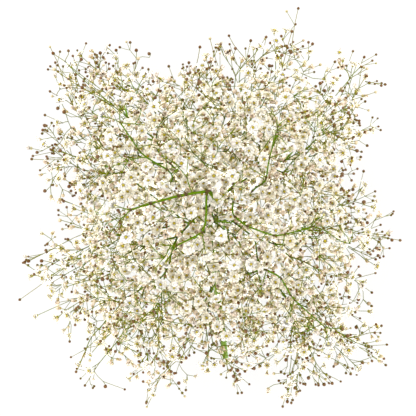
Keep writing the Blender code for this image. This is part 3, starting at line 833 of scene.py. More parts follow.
def dress_joint(dress, joint, arrive_from):
    """Adds the twig that ends at a joint, then dresses what grows from it."""
    parent, rng = joint.parent, dress.rng
    chord = joint.way_in()
    leave = unit(chord + 0.4 * arrive_from)
    radius, tone = look_radius(joint.weight), look_tone(joint.weight)
    start, start_radius = parent.place, min(look_radius(parent.weight), radius * 1.15)
    if parent.parent is None:
        start, start_radius = parent.place - parent.outward * ROOT_DEPTH, radius
    if joint.tip is not None:
        dress_tip(dress, joint, start, leave, start_radius, radius, tone)
        return
    ways_on = [child.way_in() for child in joint.children]
    arrive = unit(chord + 0.3 * np.mean(ways_on, axis=0))
    line = bent_line(start, joint.place, leave, arrive, 4)
    dress.twig(line, (start_radius, radius), (look_tone(parent.weight), tone))
    dress.node(joint.place, arrive, radius)
    if joint.weight >= LEAFY_WEIGHT:
        add_leaves(dress, joint, arrive)
    elif len(joint.children) == 2 and rng.random() < FORK_SHOOT_SHARE:
        plane = np.cross(ways_on[0], ways_on[1])
        way = unit(arrive + rng.choice((-1, 1)) * 0.6 * plane / max(np.linalg.norm(plane), 0.05))
        shoot = half_shoot if rng.random() < FORK_HALF_SHARE else bud_shoot
        shoot(dress, joint.place, way, rng.uniform(*FORK_SHOOT), look_radius(1), look_tone(2))
    if np.linalg.norm(joint.place - start) > LONG_TWIG and joint.weight <= LEAFY_WEIGHT:
        along = unit(line[3] - line[1])
        add_side_shoots(dress, line[2], along, joint.weight, HALF_SHARES["fork"], SIDE_SHOOT)
    for child in joint.children:
        dress_joint(dress, child, arrive)


def dress_tip(dress, joint, start, leave, start_radius, radius, tone):
    """The last twig of a branch, with its bloom or bud and the side shoots below it."""
    axis = facing(joint.tip, joint.way_in())
    kind, place = joint.tip.kind, joint.place
    bloom = kind == "bloom"
    size = dress.rng.uniform(*(BLOOM_SIZES if bloom else TIP_BUD_SIZES))
    line = bent_line(start, place - axis * FORM_DEPTHS[kind] * size, leave, axis, 4)
    dress.twig(line, (start_radius, radius * 0.95), (tone, 0.5 if bloom else 0.9))
    dress.flower(kind, place, axis, size)
    length = np.linalg.norm(place - start)
    for k in () if length < 6 else (2,) if length < 15 else (1, 2, 3) if length > 24 else (1, 3):
        along = unit(line[k + 1] - line[k - 1])
        add_side_shoots(dress, line[k], along, 1, HALF_SHARES[kind], BLOOM_SHOOT if bloom else BUD_SHOOT)


def add_leaves(dress, joint, along):
    """Up to two narrow leaves at a leafy fork."""
    rng = dress.rng
    turn = rng.uniform(0, math.pi)
    for side in (0, math.pi):
        way = side_way(along, turn + side, rng.uniform(0.6, 0.95))
        if rng.random() > LEAF_SHARE:
            continue
        size = rng.uniform(0.6, 1.0) * min(1.0, 0.5 + joint.weight / 30)
        start = joint.place + way * look_radius(joint.weight) * 0.5
        if inside(start + way * SPRAY_LEAF * size, 0.95):
            tint, variant = rng.random(), rng.randrange(FORM_COUNTS["leaf"])
            dress.form("leaf", start, way, size, tint, variant, rng.random() * 6)


@functools.cache
def dresses():
    """What every spray is dressed with, by spray name."""
    rng, room = random.Random(SEED + 100), Room()
    for root in sprays().values():
        for tip in all_tips(root):
            room.add(tip.place, BLOOM_RADIUS * 0.97 if is_bloom(tip) else BUD_RADIUS)
    result = {}
    for name, root in sprays().items():
        result[name] = Dress(room, rng)
        dress_joint(result[name], root.children[0], root.outward)
    upper_stems([dress for name, dress in result.items() if not name.startswith("rim")], rng)
    fill_in(result.values(), room, rng)
    top_twigs(result.values(), room, rng)
    return result


def all_tips(joint):
    if joint.tip is not None:
        yield joint.tip
    for child in joint.children:
        yield from all_tips(child)


class Anchors:
    """Points along the twigs where a new shoot may start."""

    def __init__(self, all_dresses):
        self.places, self.ways, self.details = [], [], []
        for dress in all_dresses:
            for points, radii, tones in dress.twigs:
                if radii[0] > 0.9 * HAIR_RADIUS:
                    self.add(dress, points, radii, tones)

    def add(self, dress, points, radii, tones):
        for k in range(1, len(points) - 1):
            self.places.append(points[k])
            self.ways.append(unit(points[k + 1] - points[k - 1]))
            self.details.append((dress, radii[k], tones[k]))

    def take(self, number):
        """The place and way of an anchor, and its twig's dress, radius and tone."""
        return (self.places[number], self.ways[number], *self.details[number])

    def nearest(self, place):
        return self.take(int(np.argmin(np.linalg.norm(np.array(self.places) - place, axis=1))))

    def best(self, target):
        """The anchor that a shoot to the target would most naturally leave, or None."""
        gaps = target - np.array(self.places)
        spans = np.linalg.norm(gaps, axis=1)
        along = np.einsum("ij,ij->i", gaps, np.array(self.ways)) / np.maximum(spans, 1e-6)
        cost = spans * (1.6 - 0.6 * along) + 100 * (spans < FILL_SHOOT[0]) + 100 * (along < -0.2)
        number = int(np.argmin(cost))
        return self.take(number) if cost[number] < FILL_SHOOT[1] else None


def upper_stems(all_dresses, rng):
    """The few bright green stems that fork on top of the head, each grown from a twig below it."""
    anchors = Anchors(all_dresses)
    for route, radius, forks in UPPER_STEMS:
        points = [np.array([x, y, over_head(x, y) + lift]) for x, y, lift in route]
        start, along, dress, _, _ = anchors.nearest(points[0] - UPPER_FOOT * UP)
        last_way = unit(UP + unit(points[1] - points[0]))
        dress.twig(bent_line(start, points[0], unit(along + UP), last_way, 5), (radius, radius), (0.1, 0.0))
        dress.node(start, along, radius)
        for k, (here, there) in enumerate(zip(points, points[1:])):
            ahead = unit(points[min(k + 2, len(points) - 1)] - here)
            line = bent_line(here, there, unit(there - here + 2 * last_way), ahead, 4)
            last_way = ahead
            share = k / (len(points) - 1)
            thick = radius * (1 - UPPER_THINNING * share)
            thin = radius * (1 - UPPER_THINNING * (k + 1) / len(points))
            dress.twig(line, (thick, thin), (0.15 * share, 0.15 * share + 0.1))
            dress.node(here, unit(line[1] - line[0]), thick * 1.05)
            if k > 0:
                add_side_shoots(dress, here, ahead, 2, HALF_SHARES["upper"], UPPER_SHOOT)
        end = points[-1]
        for side in (-1, 1):
            aim = unit(last_way + side * 0.6 * np.cross(last_way, UP) - 0.35 * UP)
            finish_upper(dress, end, end + aim * rng.uniform(*UPPER_TIP), last_way, radius * 0.6)
        dress.node(end, last_way, radius * 0.75)
        for x, y in forks:
            tip = np.array([x, y, over_head(x, y) - 2])
            near = min(points, key=lambda point: np.linalg.norm(point - tip))
            finish_upper(dress, near, tip, unit(tip - near), radius * 0.6)


def finish_upper(dress, start, end, way, radius):
    """A shoot from an upper stem, with whatever form has room at its end."""
    aim = unit(end - start)
    line = bent_line(start, end, unit(way + aim), aim, 3)
    dress.twig(line, (radius, look_radius(1)), (0.2, 0.5))
    add_side_shoots(dress, line[2], unit(line[2] - line[1]), 1, HALF_SHARES["upper end"], UPPER_END_SHOOT)
    for kind, reach in UPPER_ENDS:
        if dress.room.free(end + aim * reach * 0.8, reach):
            break
    place = end + aim * FORM_DEPTHS[kind]
    dress.form(kind, place, aim, 1.0, dress.rng.random() * 0.4, 0, dress.rng.random() * 6)
    dress.room.add(place, reach)


class Cover:
    """Which small squares of the view from above are hidden by a bloom or a bud."""

    STEP = 2.0

    def __init__(self, all_dresses):
        self.hidden = set()
        for dress in all_dresses:
            for kind, forms in dress.forms.items():
                for place, *_ in forms:
                    self.hide(place, COVER_RADII.get(kind, 0))

    def cell(self, place):
        return round(place[0] / self.STEP), round(place[1] / self.STEP)

    def hide(self, place, radius):
        reach = int(radius / self.STEP) + 1
        column, row = self.cell(place)
        for i in range(column - reach, column + reach + 1):
            for j in range(row - reach, row + reach + 1):
                if math.hypot(i * self.STEP - place[0], j * self.STEP - place[1]) <= radius:
                    self.hidden.add((i, j))


def furthest_reach():
    return max(head_reach(azimuth) for azimuth in range(0, 360, 5))


def fill_levels(share):
    """The lowest and the highest place for an inner bloom."""
    return max(3.6, head_underside(share) + 2), head_top(share) - 4


def fill_in(all_dresses, room, rng):
    """Grows inner shoots wherever the head still has room, so that it is full right through."""
    anchors, cover, limit = Anchors(all_dresses), Cover(all_dresses), furthest_reach()
    grown = 0
    for attempt in range(FILL_TRIES):
        flat = limit * rng.random() ** 0.62
        azimuth = rng.uniform(0, 360)
        share = flat / head_reach(azimuth)
        chance, lift = rng.random(), rng.random()
        if share > 0.96 or chance > np.interp(share, *FILL_SHARES) or grown >= FILL_SHOOTS:
            continue
        low, high = fill_levels(share)
        target = compass(azimuth) * flat
        if high < low or (cover.cell(target) in cover.hidden and attempt % 3):
            continue
        target[2] = low + (high - low) * lift**0.7
        if inner_shoot(anchors, room, rng, target, share, NOD):
            grown += 1
            cover.hide(target, COVER_RADII["small"])
    close_gaps(anchors, room, rng, cover)


def close_gaps(anchors, room, rng, cover):
    """Grows another bloom wherever the floor would still show through the middle of the head."""
    side = range(-GAP_CELLS, GAP_CELLS + 1)
    cells = [cell for cell in itertools.product(side, side) if cell not in cover.hidden]
    rng.shuffle(cells)
    for cell in cells:
        x, y = (number * cover.STEP for number in cell)
        share = rim_share((x, y))
        if cell in cover.hidden or rng.random() > np.interp(share, *GAP_SHARES):
            continue
        low, high = fill_levels(share)
        for level in GAP_LEVELS:
            target = np.array([x, y, low + (high - low) * level])
            if inner_shoot(anchors, room, rng, target, 0.0, GAP_NOD):
                cover.hide(target, COVER_RADII["small"])
                break


def inner_shoot(anchors, room, rng, target, share, nodding):
    """Grows one inner shoot with a bloom, a half-open bloom or a bud at its end, if it has room.

    Only the shoots of the first filling, which nod freely, bear side shoots.
    """
    draw, blooms = rng.random(), np.interp(share, *FILL_BLOOMS)
    kind = "small" if draw < blooms else "half" if draw < blooms + FILL_HALVES else "bud"
    size = rng.uniform(*INNER_SIZES)
    reach = INNER_RADII[kind] * size
    anchor = anchors.best(target) if room.free(target, reach) else None
    if anchor is None:
        return False
    start, along, dress, start_radius, tone = anchor
    chord = unit(target - start)
    nod = compass(rng.uniform(0, 360)) * nodding * rng.random() ** 1.5
    axis = unit(0.45 * chord + 0.45 * unit(target - HEART) + np.array([0, 0, 0.55]) + nod)
    neck = target - axis * (FORM_DEPTHS[kind] * size)
    line = bent_line(start, neck, unit(chord + 0.6 * along), unit(axis + 0.4 * chord), 3)
    if not room.free(line[2], -0.9):
        return False
    radii = (min(start_radius, look_radius(2)), look_radius(1))
    anchors.add(dress, *dress.twig(line, radii, (max(tone, 0.3), 0.6)))
    dress.node(start, along, start_radius * 0.95, 1)
    dress.flower(kind, target, axis, size)
    room.add(target, reach)
    if nodding == NOD:
        along = unit(line[2] - line[1])
        add_side_shoots(dress, line[2], along, 1, HALF_SHARES["fork"], FILL_SIDE_SHOOT)
    return True


def top_twigs(all_dresses, room, rng):
    """Grows fine forked twigs that reach over the blooms on top of the head and end in tiny buds."""
    anchors, reach = Anchors(all_dresses), furthest_reach()
    for _ in range(TOP_TWIGS):
        azimuth, flat = rng.uniform(0, 360), reach * math.sqrt(rng.random())
        share = flat / head_reach(azimuth)
        spread, height = rng.uniform(0, 360), rng.uniform(*TOP_LIFT)
        if not TOP_BAND[0] < share < TOP_BAND[1]:
            continue
        fork = compass(azimuth) * flat + np.array([0, 0, head_top(share) + height])
        anchor = anchors.best(fork)
        if anchor is None or not room.free(fork, 0.5):
            continue
        start, along, dress, start_radius, _ = anchor
        chord = unit(fork - start)
        radius = min(start_radius, TOP_RADIUS)
        aim = unit(compass(azimuth) * 0.7 + compass(spread))
        rise = unit(chord + 0.5 * aim)
        line = bent_line(start, fork, unit(chord + 0.4 * along), rise, 3)
        dress.twig(line, (radius, radius), (0.25, 0.15))
        dress.node(fork, rise, radius * 1.1)
        for turn in TOP_TURNS:
            if rng.random() > TOP_SHARE:
                continue
            level = unit(aim * math.cos(turn) + np.cross(aim, UP) * math.sin(turn))
            way = unit(level + np.array([0, 0, rng.uniform(-0.12, 0.2)]))
            middle = fork + way * rng.uniform(*TOP_REACH)
            if not inside(middle, 0.98):
                continue
            line = bent_line(fork, middle, unit(rise + way), way, 2)
            dress.twig(line, (radius, look_radius(1)), (0.15, 0.35))
            add_side_shoots(dress, middle, way, 1, HALF_SHARES["top"], TOP_SIDE_SHOOT)
            bud_shoot(dress, middle, way, rng.uniform(*TOP_BUD_SHOOT), look_radius(1), 0.35)


def over_head(x, y):
    """The height of the head's top over a place in the view from above."""
    return head_top(rim_share((x, y)))


def bud_tint(place, rng):
    """Buds are dark at the rim of the head and mostly pale inside it."""
    dark = rng.random() < np.interp(rim_share(place), *DARK_BUDS)
    return rng.uniform(0.0, 0.4) if dark else rng.uniform(0.5, 1.0)


def petal_tint(place, rng):
    """Petals deep in the head get a painted shade of warm cream; those out at its rim are a little creamier.
    """
    # painted shade: the deeper a petal lies under the head's top, the more it is tinted towards warm cream
    deep = np.interp(over_head(place[0], place[1]) - place[2], *DEEP_PAINTED_SHADE)
    return float(min(1.0, deep + np.interp(rim_share(place), *RIM_CREAM) + 0.3 * rng.random()))


# Small forms: petals, blooms, buds, nodes and leaves, in millimetres with +Z the way they face


def turned(angle):
    """The unit vectors out from the axis and round it, at an angle."""
    x, y = math.cos(angle), math.sin(angle)
    return np.array([x, y, 0.0]), np.array([-y, x, 0.0])


class Form:
    """Points and faces with a zone value at each point, which the materials read."""

    def __init__(self):
        self.points, self.faces, self.zones = [], [], []

    def point(self, place, zone):
        self.points.append(tuple(place))
        self.zones.append(zone)
        return len(self.points) - 1

    def ring(self, height, radius, sides, zone, turn=0.0, lobes=0, lobe=0.0):
        numbers = []
        for k in range(sides):
            angle = turn + 2 * math.pi * k / sides
            reach = radius * (1 + lobe * math.cos(lobes * angle))
            numbers.append(self.point((reach * math.cos(angle), reach * math.sin(angle), height), zone))
        return numbers

    def skin(self, lower, upper):
        for k in range(len(lower)):
            j = (k + 1) % len(lower)
            self.faces.append((lower[k], lower[j], upper[j], upper[k]))

    def close(self, ring, place, zone, below=False):
        top = self.point(place, zone)
        for k in range(len(ring)):
            j = (k + 1) % len(ring)
            self.faces.append((ring[j], ring[k], top) if below else (ring[k], ring[j], top))

    def stack(self, last, ring, foot=None, zone=0.0):
        """Joins a ring to the last one, or closes the first ring with a point or a flat face."""
        if last is not None:
            self.skin(last, ring)
        elif foot is not None:
            self.close(ring, foot, zone, below=True)
        else:
            self.faces.append(tuple(reversed(ring)))
        return ring

    def mesh(self, name):
        mesh = bpy.data.meshes.new(name)
        mesh.from_pydata([tuple(MM * c for c in p) for p in self.points], [], self.faces)
        store(mesh, "zone", self.zones)
        shape = bmesh.new()
        shape.from_mesh(mesh)
        bmesh.ops.triangulate(shape, faces=shape.faces)
        bmesh.ops.recalc_face_normals(shape, faces=shape.faces)
        shape.to_mesh(mesh)
        shape.free()
        mesh.shade_smooth()
        return mesh


def store(mesh, name, values, kind="FLOAT"):
    """Keeps one value for each point of a mesh, under a name."""
    attribute = mesh.attributes.new(name, kind, "POINT")
    attribute.data.foreach_set("vector" if kind == "FLOAT_VECTOR" else "value", values)


# Where along a petal its edge points stand, and how wide it is there, for three levels of detail.
PETAL_ROWS = {
    3: ((0.38, 0.72), (0.74, 1.0), (0.95, 0.62)),
    2: ((0.5, 0.88), (0.9, 0.78)),
    1: ((0.68, 1.0),),
}
# How much a petal's edges fold up, how far they ruffle, and how far out the throat's colour goes.
PETAL_CUPS = (0.10, 0.32)
PETAL_RUFFLE = (-0.09, 0.13)
THROAT_REACH = 0.62


def add_petal(form, rng, turn, base, height, length, half_width, rise, curl, throat, detail):
    """A thin closed petal that starts near the axis and rises and curls outwards.

    rise is its slope where it starts and curl how much the slope has changed at its tip, in degrees.
    """
    out, side = turned(turn)
    place = out * base + UP * height
    before = 0.0
    first = form.point(place, throat)
    cup = rng.uniform(*PETAL_CUPS)
    sway = rng.uniform(-0.12, 0.12)
    rows = []
    for share, width in PETAL_ROWS[detail]:
        slope = math.radians(rise + curl * (share + before) / 2)
        place = place + (out * math.cos(slope) + UP * math.sin(slope)) * length * (share - before)
        normal = UP * math.cos(slope) - out * math.sin(slope)
        w = half_width * width
        zone = throat * max(0.0, 1 - share / THROAT_REACH)
        middle = place + side * sway * length * share
        ruffle = [rng.uniform(*PETAL_RUFFLE) * length * share for _ in range(2)]
        left = form.point(middle - side * w + normal * (cup * w + ruffle[0]), zone)
        right = form.point(middle + side * w + normal * (cup * w + ruffle[1]), zone)
        above = form.point(middle + normal * PETAL_THICKNESS * 0.5, zone)
        below = form.point(middle - normal * PETAL_THICKNESS * 0.5, zone)
        rows.append((left, above, right, below))
        before = share
    slope = math.radians(rise + curl)
    step = 0.985 if rng.random() < 0.7 else 1.04
    place = place + (out * math.cos(slope) + UP * math.sin(slope)) * length * (step - before)
    form.faces += [(first, rows[0][k], rows[0][(k + 1) % 4]) for k in range(4)]
    for low, high in zip(rows, rows[1:]):
        form.skin(low, high)
    form.close(rows[-1], place + side * sway * length, 0.0)


def add_rounds(form, rng, rounds, openness):
    """Rounds of petals, each as the tables below give it."""
    for count, length, width, rise, curl, height, base, throat, detail in rounds:
        begin = rng.uniform(0, 6)
        for k in range(count):
            turn = begin + (k + rng.uniform(-0.16, 0.16)) * 2 * math.pi / count
            long, wide = length * rng.uniform(0.92, 1.06), width * rng.uniform(0.92, 1.08)
            slope, bend = rise / openness + rng.uniform(-7, 7), curl + rng.uniform(-10, 10)
            add_petal(form, rng, turn, base, height, long, wide, slope, bend, throat, detail)


def add_cup(form, depth, rings, sides, top):
    """The green calyx under a bloom, from its neck up, with five blunt lobes at its edge."""
    last = None
    for height, radius in rings:
        edge = height == rings[-1][0]
        ring = form.ring(height * depth, radius, sides, 2.35 if edge else 2.0, 0, 5, 0.1 if edge else 0)
        last = form.stack(last, ring, (0, 0, height * depth - 0.05), 2.0)
    form.close(last, (0, 0, top), 1.0)


def add_eye(form, radius, low, high, sides):
    """The yellow-green middle of a bloom."""
    foot = form.ring(low, radius * 0.9, sides, 1.0)
    waist = form.ring(high - 0.18, radius, sides, 1.05, 0.4)
    form.close(foot, (0, 0, low - 0.1), 1.0, below=True)
    form.skin(foot, waist)
    form.close(waist, (0, 0, high), 1.2)


# The rings of each calyx: height, as a share of its depth, and radius.
BLOOM_CUP = ((-1.0, 0.24), (-0.6, 0.8), (-0.1, 0.98))
SMALL_CUP = ((-1.0, 0.24), (-0.2, 0.9))
HALF_CUP = ((-1.0, 0.24), (-0.72, 0.82), (-0.1, 0.98))

# Rounds of petals: how many, length, half width, rise, curl, height, start, throat and level of detail.
BLOOM_ROUNDS = (
    (9, 3.05, 1.22, 24, -32, -0.1, 0.40, 0.3, 3),
    (8, 2.5, 1.12, 40, -38, 0.05, 0.40, 0.5, 2),
    (7, 1.75, 0.86, 52, -34, 0.2, 0.50, 0.8, 2),
    (5, 1.0, 0.5, 60, -10, 0.3, 0.66, 1.0, 1),
)
SMALL_ROUNDS = (
    (9, 2.9, 1.25, 24, -30, -0.1, 0.40, 0.3, 1),
    (7, 2.2, 1.1, 42, -34, 0.05, 0.40, 0.6, 1),
    (5, 1.3, 0.7, 56, -20, 0.2, 0.50, 1.0, 1),
)
HALF_LOW = -0.45 * HALF_DEPTH
EGG_ROUNDS = ((5, 3.5, 1.12, 42, 84, HALF_LOW, 0.38, 0.5, 2), (3, 3.0, 0.8, 62, 60, HALF_LOW, 0.28, 0.5, 1))
CUP_ROUNDS = ((6, 3.0, 1.1, 44, 34, HALF_LOW, 0.38, 0.5, 2), (4, 2.7, 0.95, 60, 30, HALF_LOW, 0.28, 0.5, 1))
OPENNESS = (0.85, 1.2)

# A bud's rings and how tall it is, how far a swelling reaches along its twig, and a leaf's half width
# at shares of its length.
BUD_RINGS = ((-1.0, 0.24), (-0.62, 0.84), (0.15, 1.0), (0.78, 0.58))
BUD_HEIGHTS = (1.0, 1.25)
NODE_REACH = 3.2
LEAF_ROWS = ((0.0, 0.3), (0.15, 0.5), (0.4, 0.66), (0.65, 0.56), (0.85, 0.3))


def open_form(rng, depth, cup, sides, rounds, eye):
    """A calyx with rounds of petals and an eye."""
    form = Form()
    add_cup(form, depth, cup, sides, 0.0)
    add_rounds(form, rng, rounds, rng.uniform(*OPENNESS))
    add_eye(form, *eye)
    return form


def bloom_form(number):
    """An open double bloom: four rounds of petals round a small yellow-green centre."""
    rng = random.Random(SEED + 10 * number)
    return open_form(rng, BLOOM_DEPTH, BLOOM_CUP, 8, BLOOM_ROUNDS, (0.74, 0.2, 1.0, 7))


def small_form(number):
    """A lighter bloom for the inner shoots, with three rounds of petals."""
    rng = random.Random(SEED + 300 + 10 * number)
    return open_form(rng, SMALL_DEPTH, SMALL_CUP, 6, SMALL_ROUNDS, (0.7, 0.2, 0.95, 5))


def half_form(number):
    """A half-open bloom: petals that still close over, as an egg or as a cup, in a green calyx."""
    form = Form()
    add_cup(form, HALF_DEPTH, HALF_CUP, 6, 0.1)
    rounds = CUP_ROUNDS if number % 2 else EGG_ROUNDS
    add_rounds(form, random.Random(SEED + 500 + number), rounds, 1.0)
    return form


def bud_form(number):
    """A round bud: five sepals closed over it, with a paler tip."""
    rng, form, last = random.Random(SEED + 900 + number), Form(), None
    tall = rng.uniform(*BUD_HEIGHTS)
    for i, (height, radius) in enumerate(BUD_RINGS):
        height = height * BUD_RADIUS * (1.0 if height < 0 else tall)
        ring = form.ring(height, radius * BUD_RADIUS, 8, (i / 3) ** 1.5, rng.uniform(-0.1, 0.1), 5, 0.04)
        last = form.stack(last, ring, (0, 0, height - 0.05))
    form.close(last, (0, 0, BUD_RADIUS * tall * 1.02), 1.3)
    return form


def node_form(number):
    """The swelling at a fork, the first kind with a pair of tiny bracts, for a twig of radius one."""
    form = Form()
    waist = form.ring(0, 1.75, 5, 0.0, 0.3 * number)
    form.close(waist, (0, 0, -NODE_REACH), 0.0, below=True)
    form.close(waist, (0, 0, NODE_REACH), 0.0)
    for turn in (0.0, math.pi) if number == 0 else ():
        out, side = turned(turn)
        foot = out * 1.05 - 0.2 * UP
        corners = ((-0.8, 0), (0, 0.4), (0.8, 0), (0, -0.3))
        base = form.stack(None, [form.point(foot + side * w + out * d, 0.2) for w, d in corners])
        form.close(base, foot + out * 2.0 + 3.4 * UP, 1.0)
    return form


def leaf_form(number):
    """A narrow pointed leaf with a keel, arching back from the twig."""
    form, last = Form(), None
    bend = random.Random(SEED + 700 + number).uniform(0.12, 0.3)
    for share, width in LEAF_ROWS:
        back, height = bend * SPRAY_LEAF * share**2, SPRAY_LEAF * share
        edge = ((-width, -0.18), (0, 0.1), (width, -0.18), (0, -0.14))
        last = form.stack(last, [form.point((back + d, w, height), share) for w, d in edge])
    form.close(last, (bend * SPRAY_LEAF, 0, SPRAY_LEAF), 1.0)
    return form


# Node trees and materials


def slot_of(slots, key):
    """A node's socket by its number, or by its name among those in use."""
    return slots[key] if isinstance(key, int) else next(s for s in slots if s.enabled and s.name == key)


class Nodes:
    """Short ways to add nodes to a tree, with their inputs set or linked at once."""

    def __init__(self, tree):
        self.tree = tree

    def fill(self, node, inputs):
        for key, value in inputs.items():
            slot = slot_of(node.inputs, key)
            if isinstance(value, bpy.types.NodeSocket):
                self.tree.links.new(value, slot)
            else:
                slot.default_value = (*value, 1) if slot.type == "RGBA" else value

    def add(self, kind, inputs=None, **properties):
        node = self.tree.nodes.new(kind)
        for key, value in properties.items():
            setattr(node, key, value)
        self.fill(node, inputs or {})
        return node

    def out(self, *details, **properties):
        """Adds a node and gives its first output in use."""
        return next(s for s in self.add(*details, **properties).outputs if s.enabled)

    def place(self):
        return self.add("ShaderNodeTexCoord").outputs["Object"]

    def math(self, operation, a, b, clamp=False):
        return self.out("ShaderNodeMath", {0: a, 1: b}, operation=operation, use_clamp=clamp)

    def mix(self, share, a, b, blend_type="MIX"):
        inputs = {"Factor": share, "A": a, "B": b}
        return self.out("ShaderNodeMix", inputs, data_type="RGBA", blend_type=blend_type)


class Shader(Nodes):
    """A new material with a Principled shader."""

    def __init__(self, name, roughness, **sockets):
        self.material = bpy.data.materials.get(name) or bpy.data.materials.new(name)
        self.material.use_nodes = True
        super().__init__(self.material.node_tree)
        self.tree.nodes.clear()
        self.main = self.add("ShaderNodeBsdfPrincipled", {"Roughness": roughness})
        self.fill(self.main, {key.replace("_", " "): value for key, value in sockets.items()})
        self.add("ShaderNodeOutputMaterial", {"Surface": self.main.outputs[0]})

    def attribute(self, name):
        return self.add("ShaderNodeAttribute", attribute_name=name).outputs["Fac"]

    def streaks(self, scale, stretch):
        place = self.out("ShaderNodeMapping", {"Vector": self.place(), "Scale": stretch})
        return self.out("ShaderNodeTexNoise", {"Vector": place, "Scale": scale, "Detail": 4.0})

    def ramp(self, value, *stops):
        node = self.add("ShaderNodeValToRGB", {"Fac": value})
        marks = node.color_ramp.elements
        while len(marks) < len(stops):
            marks.new(0.5)
        for mark, (position, colour) in zip(marks, stops):
            mark.position, mark.color = position, (*colour, 1)
        return node.outputs["Color"]

    def finish(self, colour, scale, darken, warm, strength, distance=0.0002):
        """Mottles the colour, sets it with a fine bump, and gives the finished material."""
        mottle = self.add("ShaderNodeGroup", node_tree=mottle_group())
        self.fill(mottle, {"Colour": colour, "Scale": scale, "Darken": darken, "Warm": warm})
        height = mottle.outputs["Height"]
        bump = self.out("ShaderNodeBump", {"Height": height, "Strength": strength, "Distance": distance})
        self.fill(self.main, {"Base Color": mottle.outputs["Colour"], "Normal": bump})
        return self.material


def new_tree(name, kind, inputs, outputs):
    """A new tree with the named sockets, and the nodes that it starts and ends with."""
    tree = bpy.data.node_groups.new(name, kind)
    for label, socket, default in inputs:
        item = tree.interface.new_socket(label, in_out="INPUT", socket_type=f"NodeSocket{socket}")
        if default is not None:
            item.default_value = default
    for label, socket in outputs:
        tree.interface.new_socket(label, in_out="OUTPUT", socket_type=f"NodeSocket{socket}")
    nodes = Nodes(tree)
    return nodes, nodes.add("NodeGroupInput").outputs, nodes.add("NodeGroupOutput")


@functools.cache
def mottle_group():
    """Varies a colour over a surface: a soft noise darkens it and a second one warms it."""
    white = ("Colour", "Color", (1, 1, 1, 1))
    inputs = (white, ("Scale", "Float", 300.0), ("Darken", "Float", 0.2), ("Warm", "Float", 0.1))
    outputs = (("Colour", "Color"), ("Height", "Float"))
    nodes, start, end = new_tree("plant mottle", "ShaderNodeTree", inputs, outputs)
    place = nodes.place()
    fine = nodes.out("ShaderNodeTexNoise", {"Vector": place, "Scale": start["Scale"]})
    broad = nodes.out("ShaderNodeTexNoise", {"Vector": place, "Scale": 45.0})
    darken = nodes.math("MULTIPLY", fine, start["Darken"])
    warm = nodes.math("MULTIPLY", broad, start["Warm"])
    dark = nodes.mix(darken, start["Colour"], (0.25, 0.25, 0.2), "MULTIPLY")
    nodes.fill(end, {"Colour": nodes.mix(warm, dark, (1.0, 0.72, 0.4), "MULTIPLY"), "Height": fine})
    return nodes.tree


def blend(a, b, share=0.5):
    """A colour between two others."""
    return tuple((1 - share) * x + share * y for x, y in zip(a, b))


def scaled(colour, factor, lift=0.0):
    """A colour made darker or lighter."""
    return tuple(min(1.0, factor * c + lift) for c in colour)


def petal_shader(name, soft, depth):
    """A soft petal shader, and its zone: 0 on petals, 0.4 at the throat and 0.8 on the calyx."""
    shader = Shader(name, 0.62, Subsurface_Weight=soft, Subsurface_Scale=depth,
                    Subsurface_Radius=(1.0, 0.9, 0.7), Specular_IOR_Level=0.25)
    return shader, shader.math("DIVIDE", shader.attribute("zone"), 2.5, True)


def petal_material(tints):
    """White petals with a painted shade of warm cream deep in the head, cream near the throat, round a
    yellow-green centre and over a green calyx.
    """
    shader, zone = petal_shader("petal_white", 0.7, 0.0015)
    white, throat, calyx = tints.petal_colour, tints.throat_colour, tints.calyx_colour
    cream = blend(white, throat, 0.4)
    colour = shader.ramp(zone, (0.0, white), (0.1, white), (0.27, cream), (0.4, throat), (0.6, throat),
                         (0.8, calyx), (0.93, blend(calyx, cream)))
    # the tint multiplies the petals towards warm cream: painted shade deep in the head, plus a little cream
    # at the rim and some at random
    tinted = shader.mix(shader.attribute("tint"), colour, tints.shade_cream_colour, "MULTIPLY")
    return shader.finish(tinted, 900.0, 0.03, 0.07, 0.25)


def half_material(tints):
    """Cream petals that turn peach and buff, as painted shade deep in the head and in some at random, in a
    green calyx.
    """
    shader, zone = petal_shader("half_open_cream", 0.5, 0.0012)
    cream, calyx = tints.half_colour, tints.calyx_colour
    colour = shader.ramp(zone, (0.0, cream), (0.25, blend(cream, calyx)), (0.7, calyx),
                         (0.95, blend(calyx, cream, 0.4)))
    # painted shade: half-open blooms deep in the head are tinted towards peach buff, and some more at random
    shade_and_buff = shader.math("POWER", shader.attribute("tint"), 2.0)
    return shader.finish(shader.mix(shade_and_buff, colour, tints.buff_and_shade_colour, "MULTIPLY"), 700.0, 0.07, 0.1, 0.3)


def bud_material(tints):
    """Buds that run from green sepals to a dusky tip, or to a cream one where they are fresh."""
    shader = Shader("bud_brown", 0.65, Specular_IOR_Level=0.08)
    green, pale = tints.calyx_colour, tints.bud_pale_colour
    zone = shader.math("MULTIPLY", shader.attribute("zone"), 0.77, True)
    dark = shader.ramp(zone, (0.0, scaled(green, 0.4)), (0.35, tints.bud_colour), (1.0, tints.bud_tip_colour))
    fresh = shader.ramp(zone, (0.0, green), (0.25, blend(green, pale)), (0.7, pale))
    light = shader.ramp(shader.attribute("tint"), (0.0, [0.0] * 3), (0.4, [0.1] * 3), (0.65, [0.95] * 3))
    return shader.finish(shader.mix(light, dark, fresh), 800.0, 0.3, 0.15, 0.35)


def stem_material(tints):
    """Fresh green stems that turn olive brown as they thin, with fine streaks."""
    shader = Shader("stem_green", 0.7, Specular_IOR_Level=0.05)
    stops = ((0.0, tints.stem_colour), (0.45, tints.olive_colour), (0.9, tints.twig_colour))
    colour = shader.ramp(shader.attribute("tone"), *stops)
    streaks = shader.math("MULTIPLY", shader.streaks(500.0, (1.0, 1.0, 0.3)), 0.3)
    streaked = shader.mix(streaks, colour, (0.6, 0.62, 0.4), "MULTIPLY")
    return shader.finish(streaked, 420.0, 0.25, 0.12, 0.3, 0.0003)


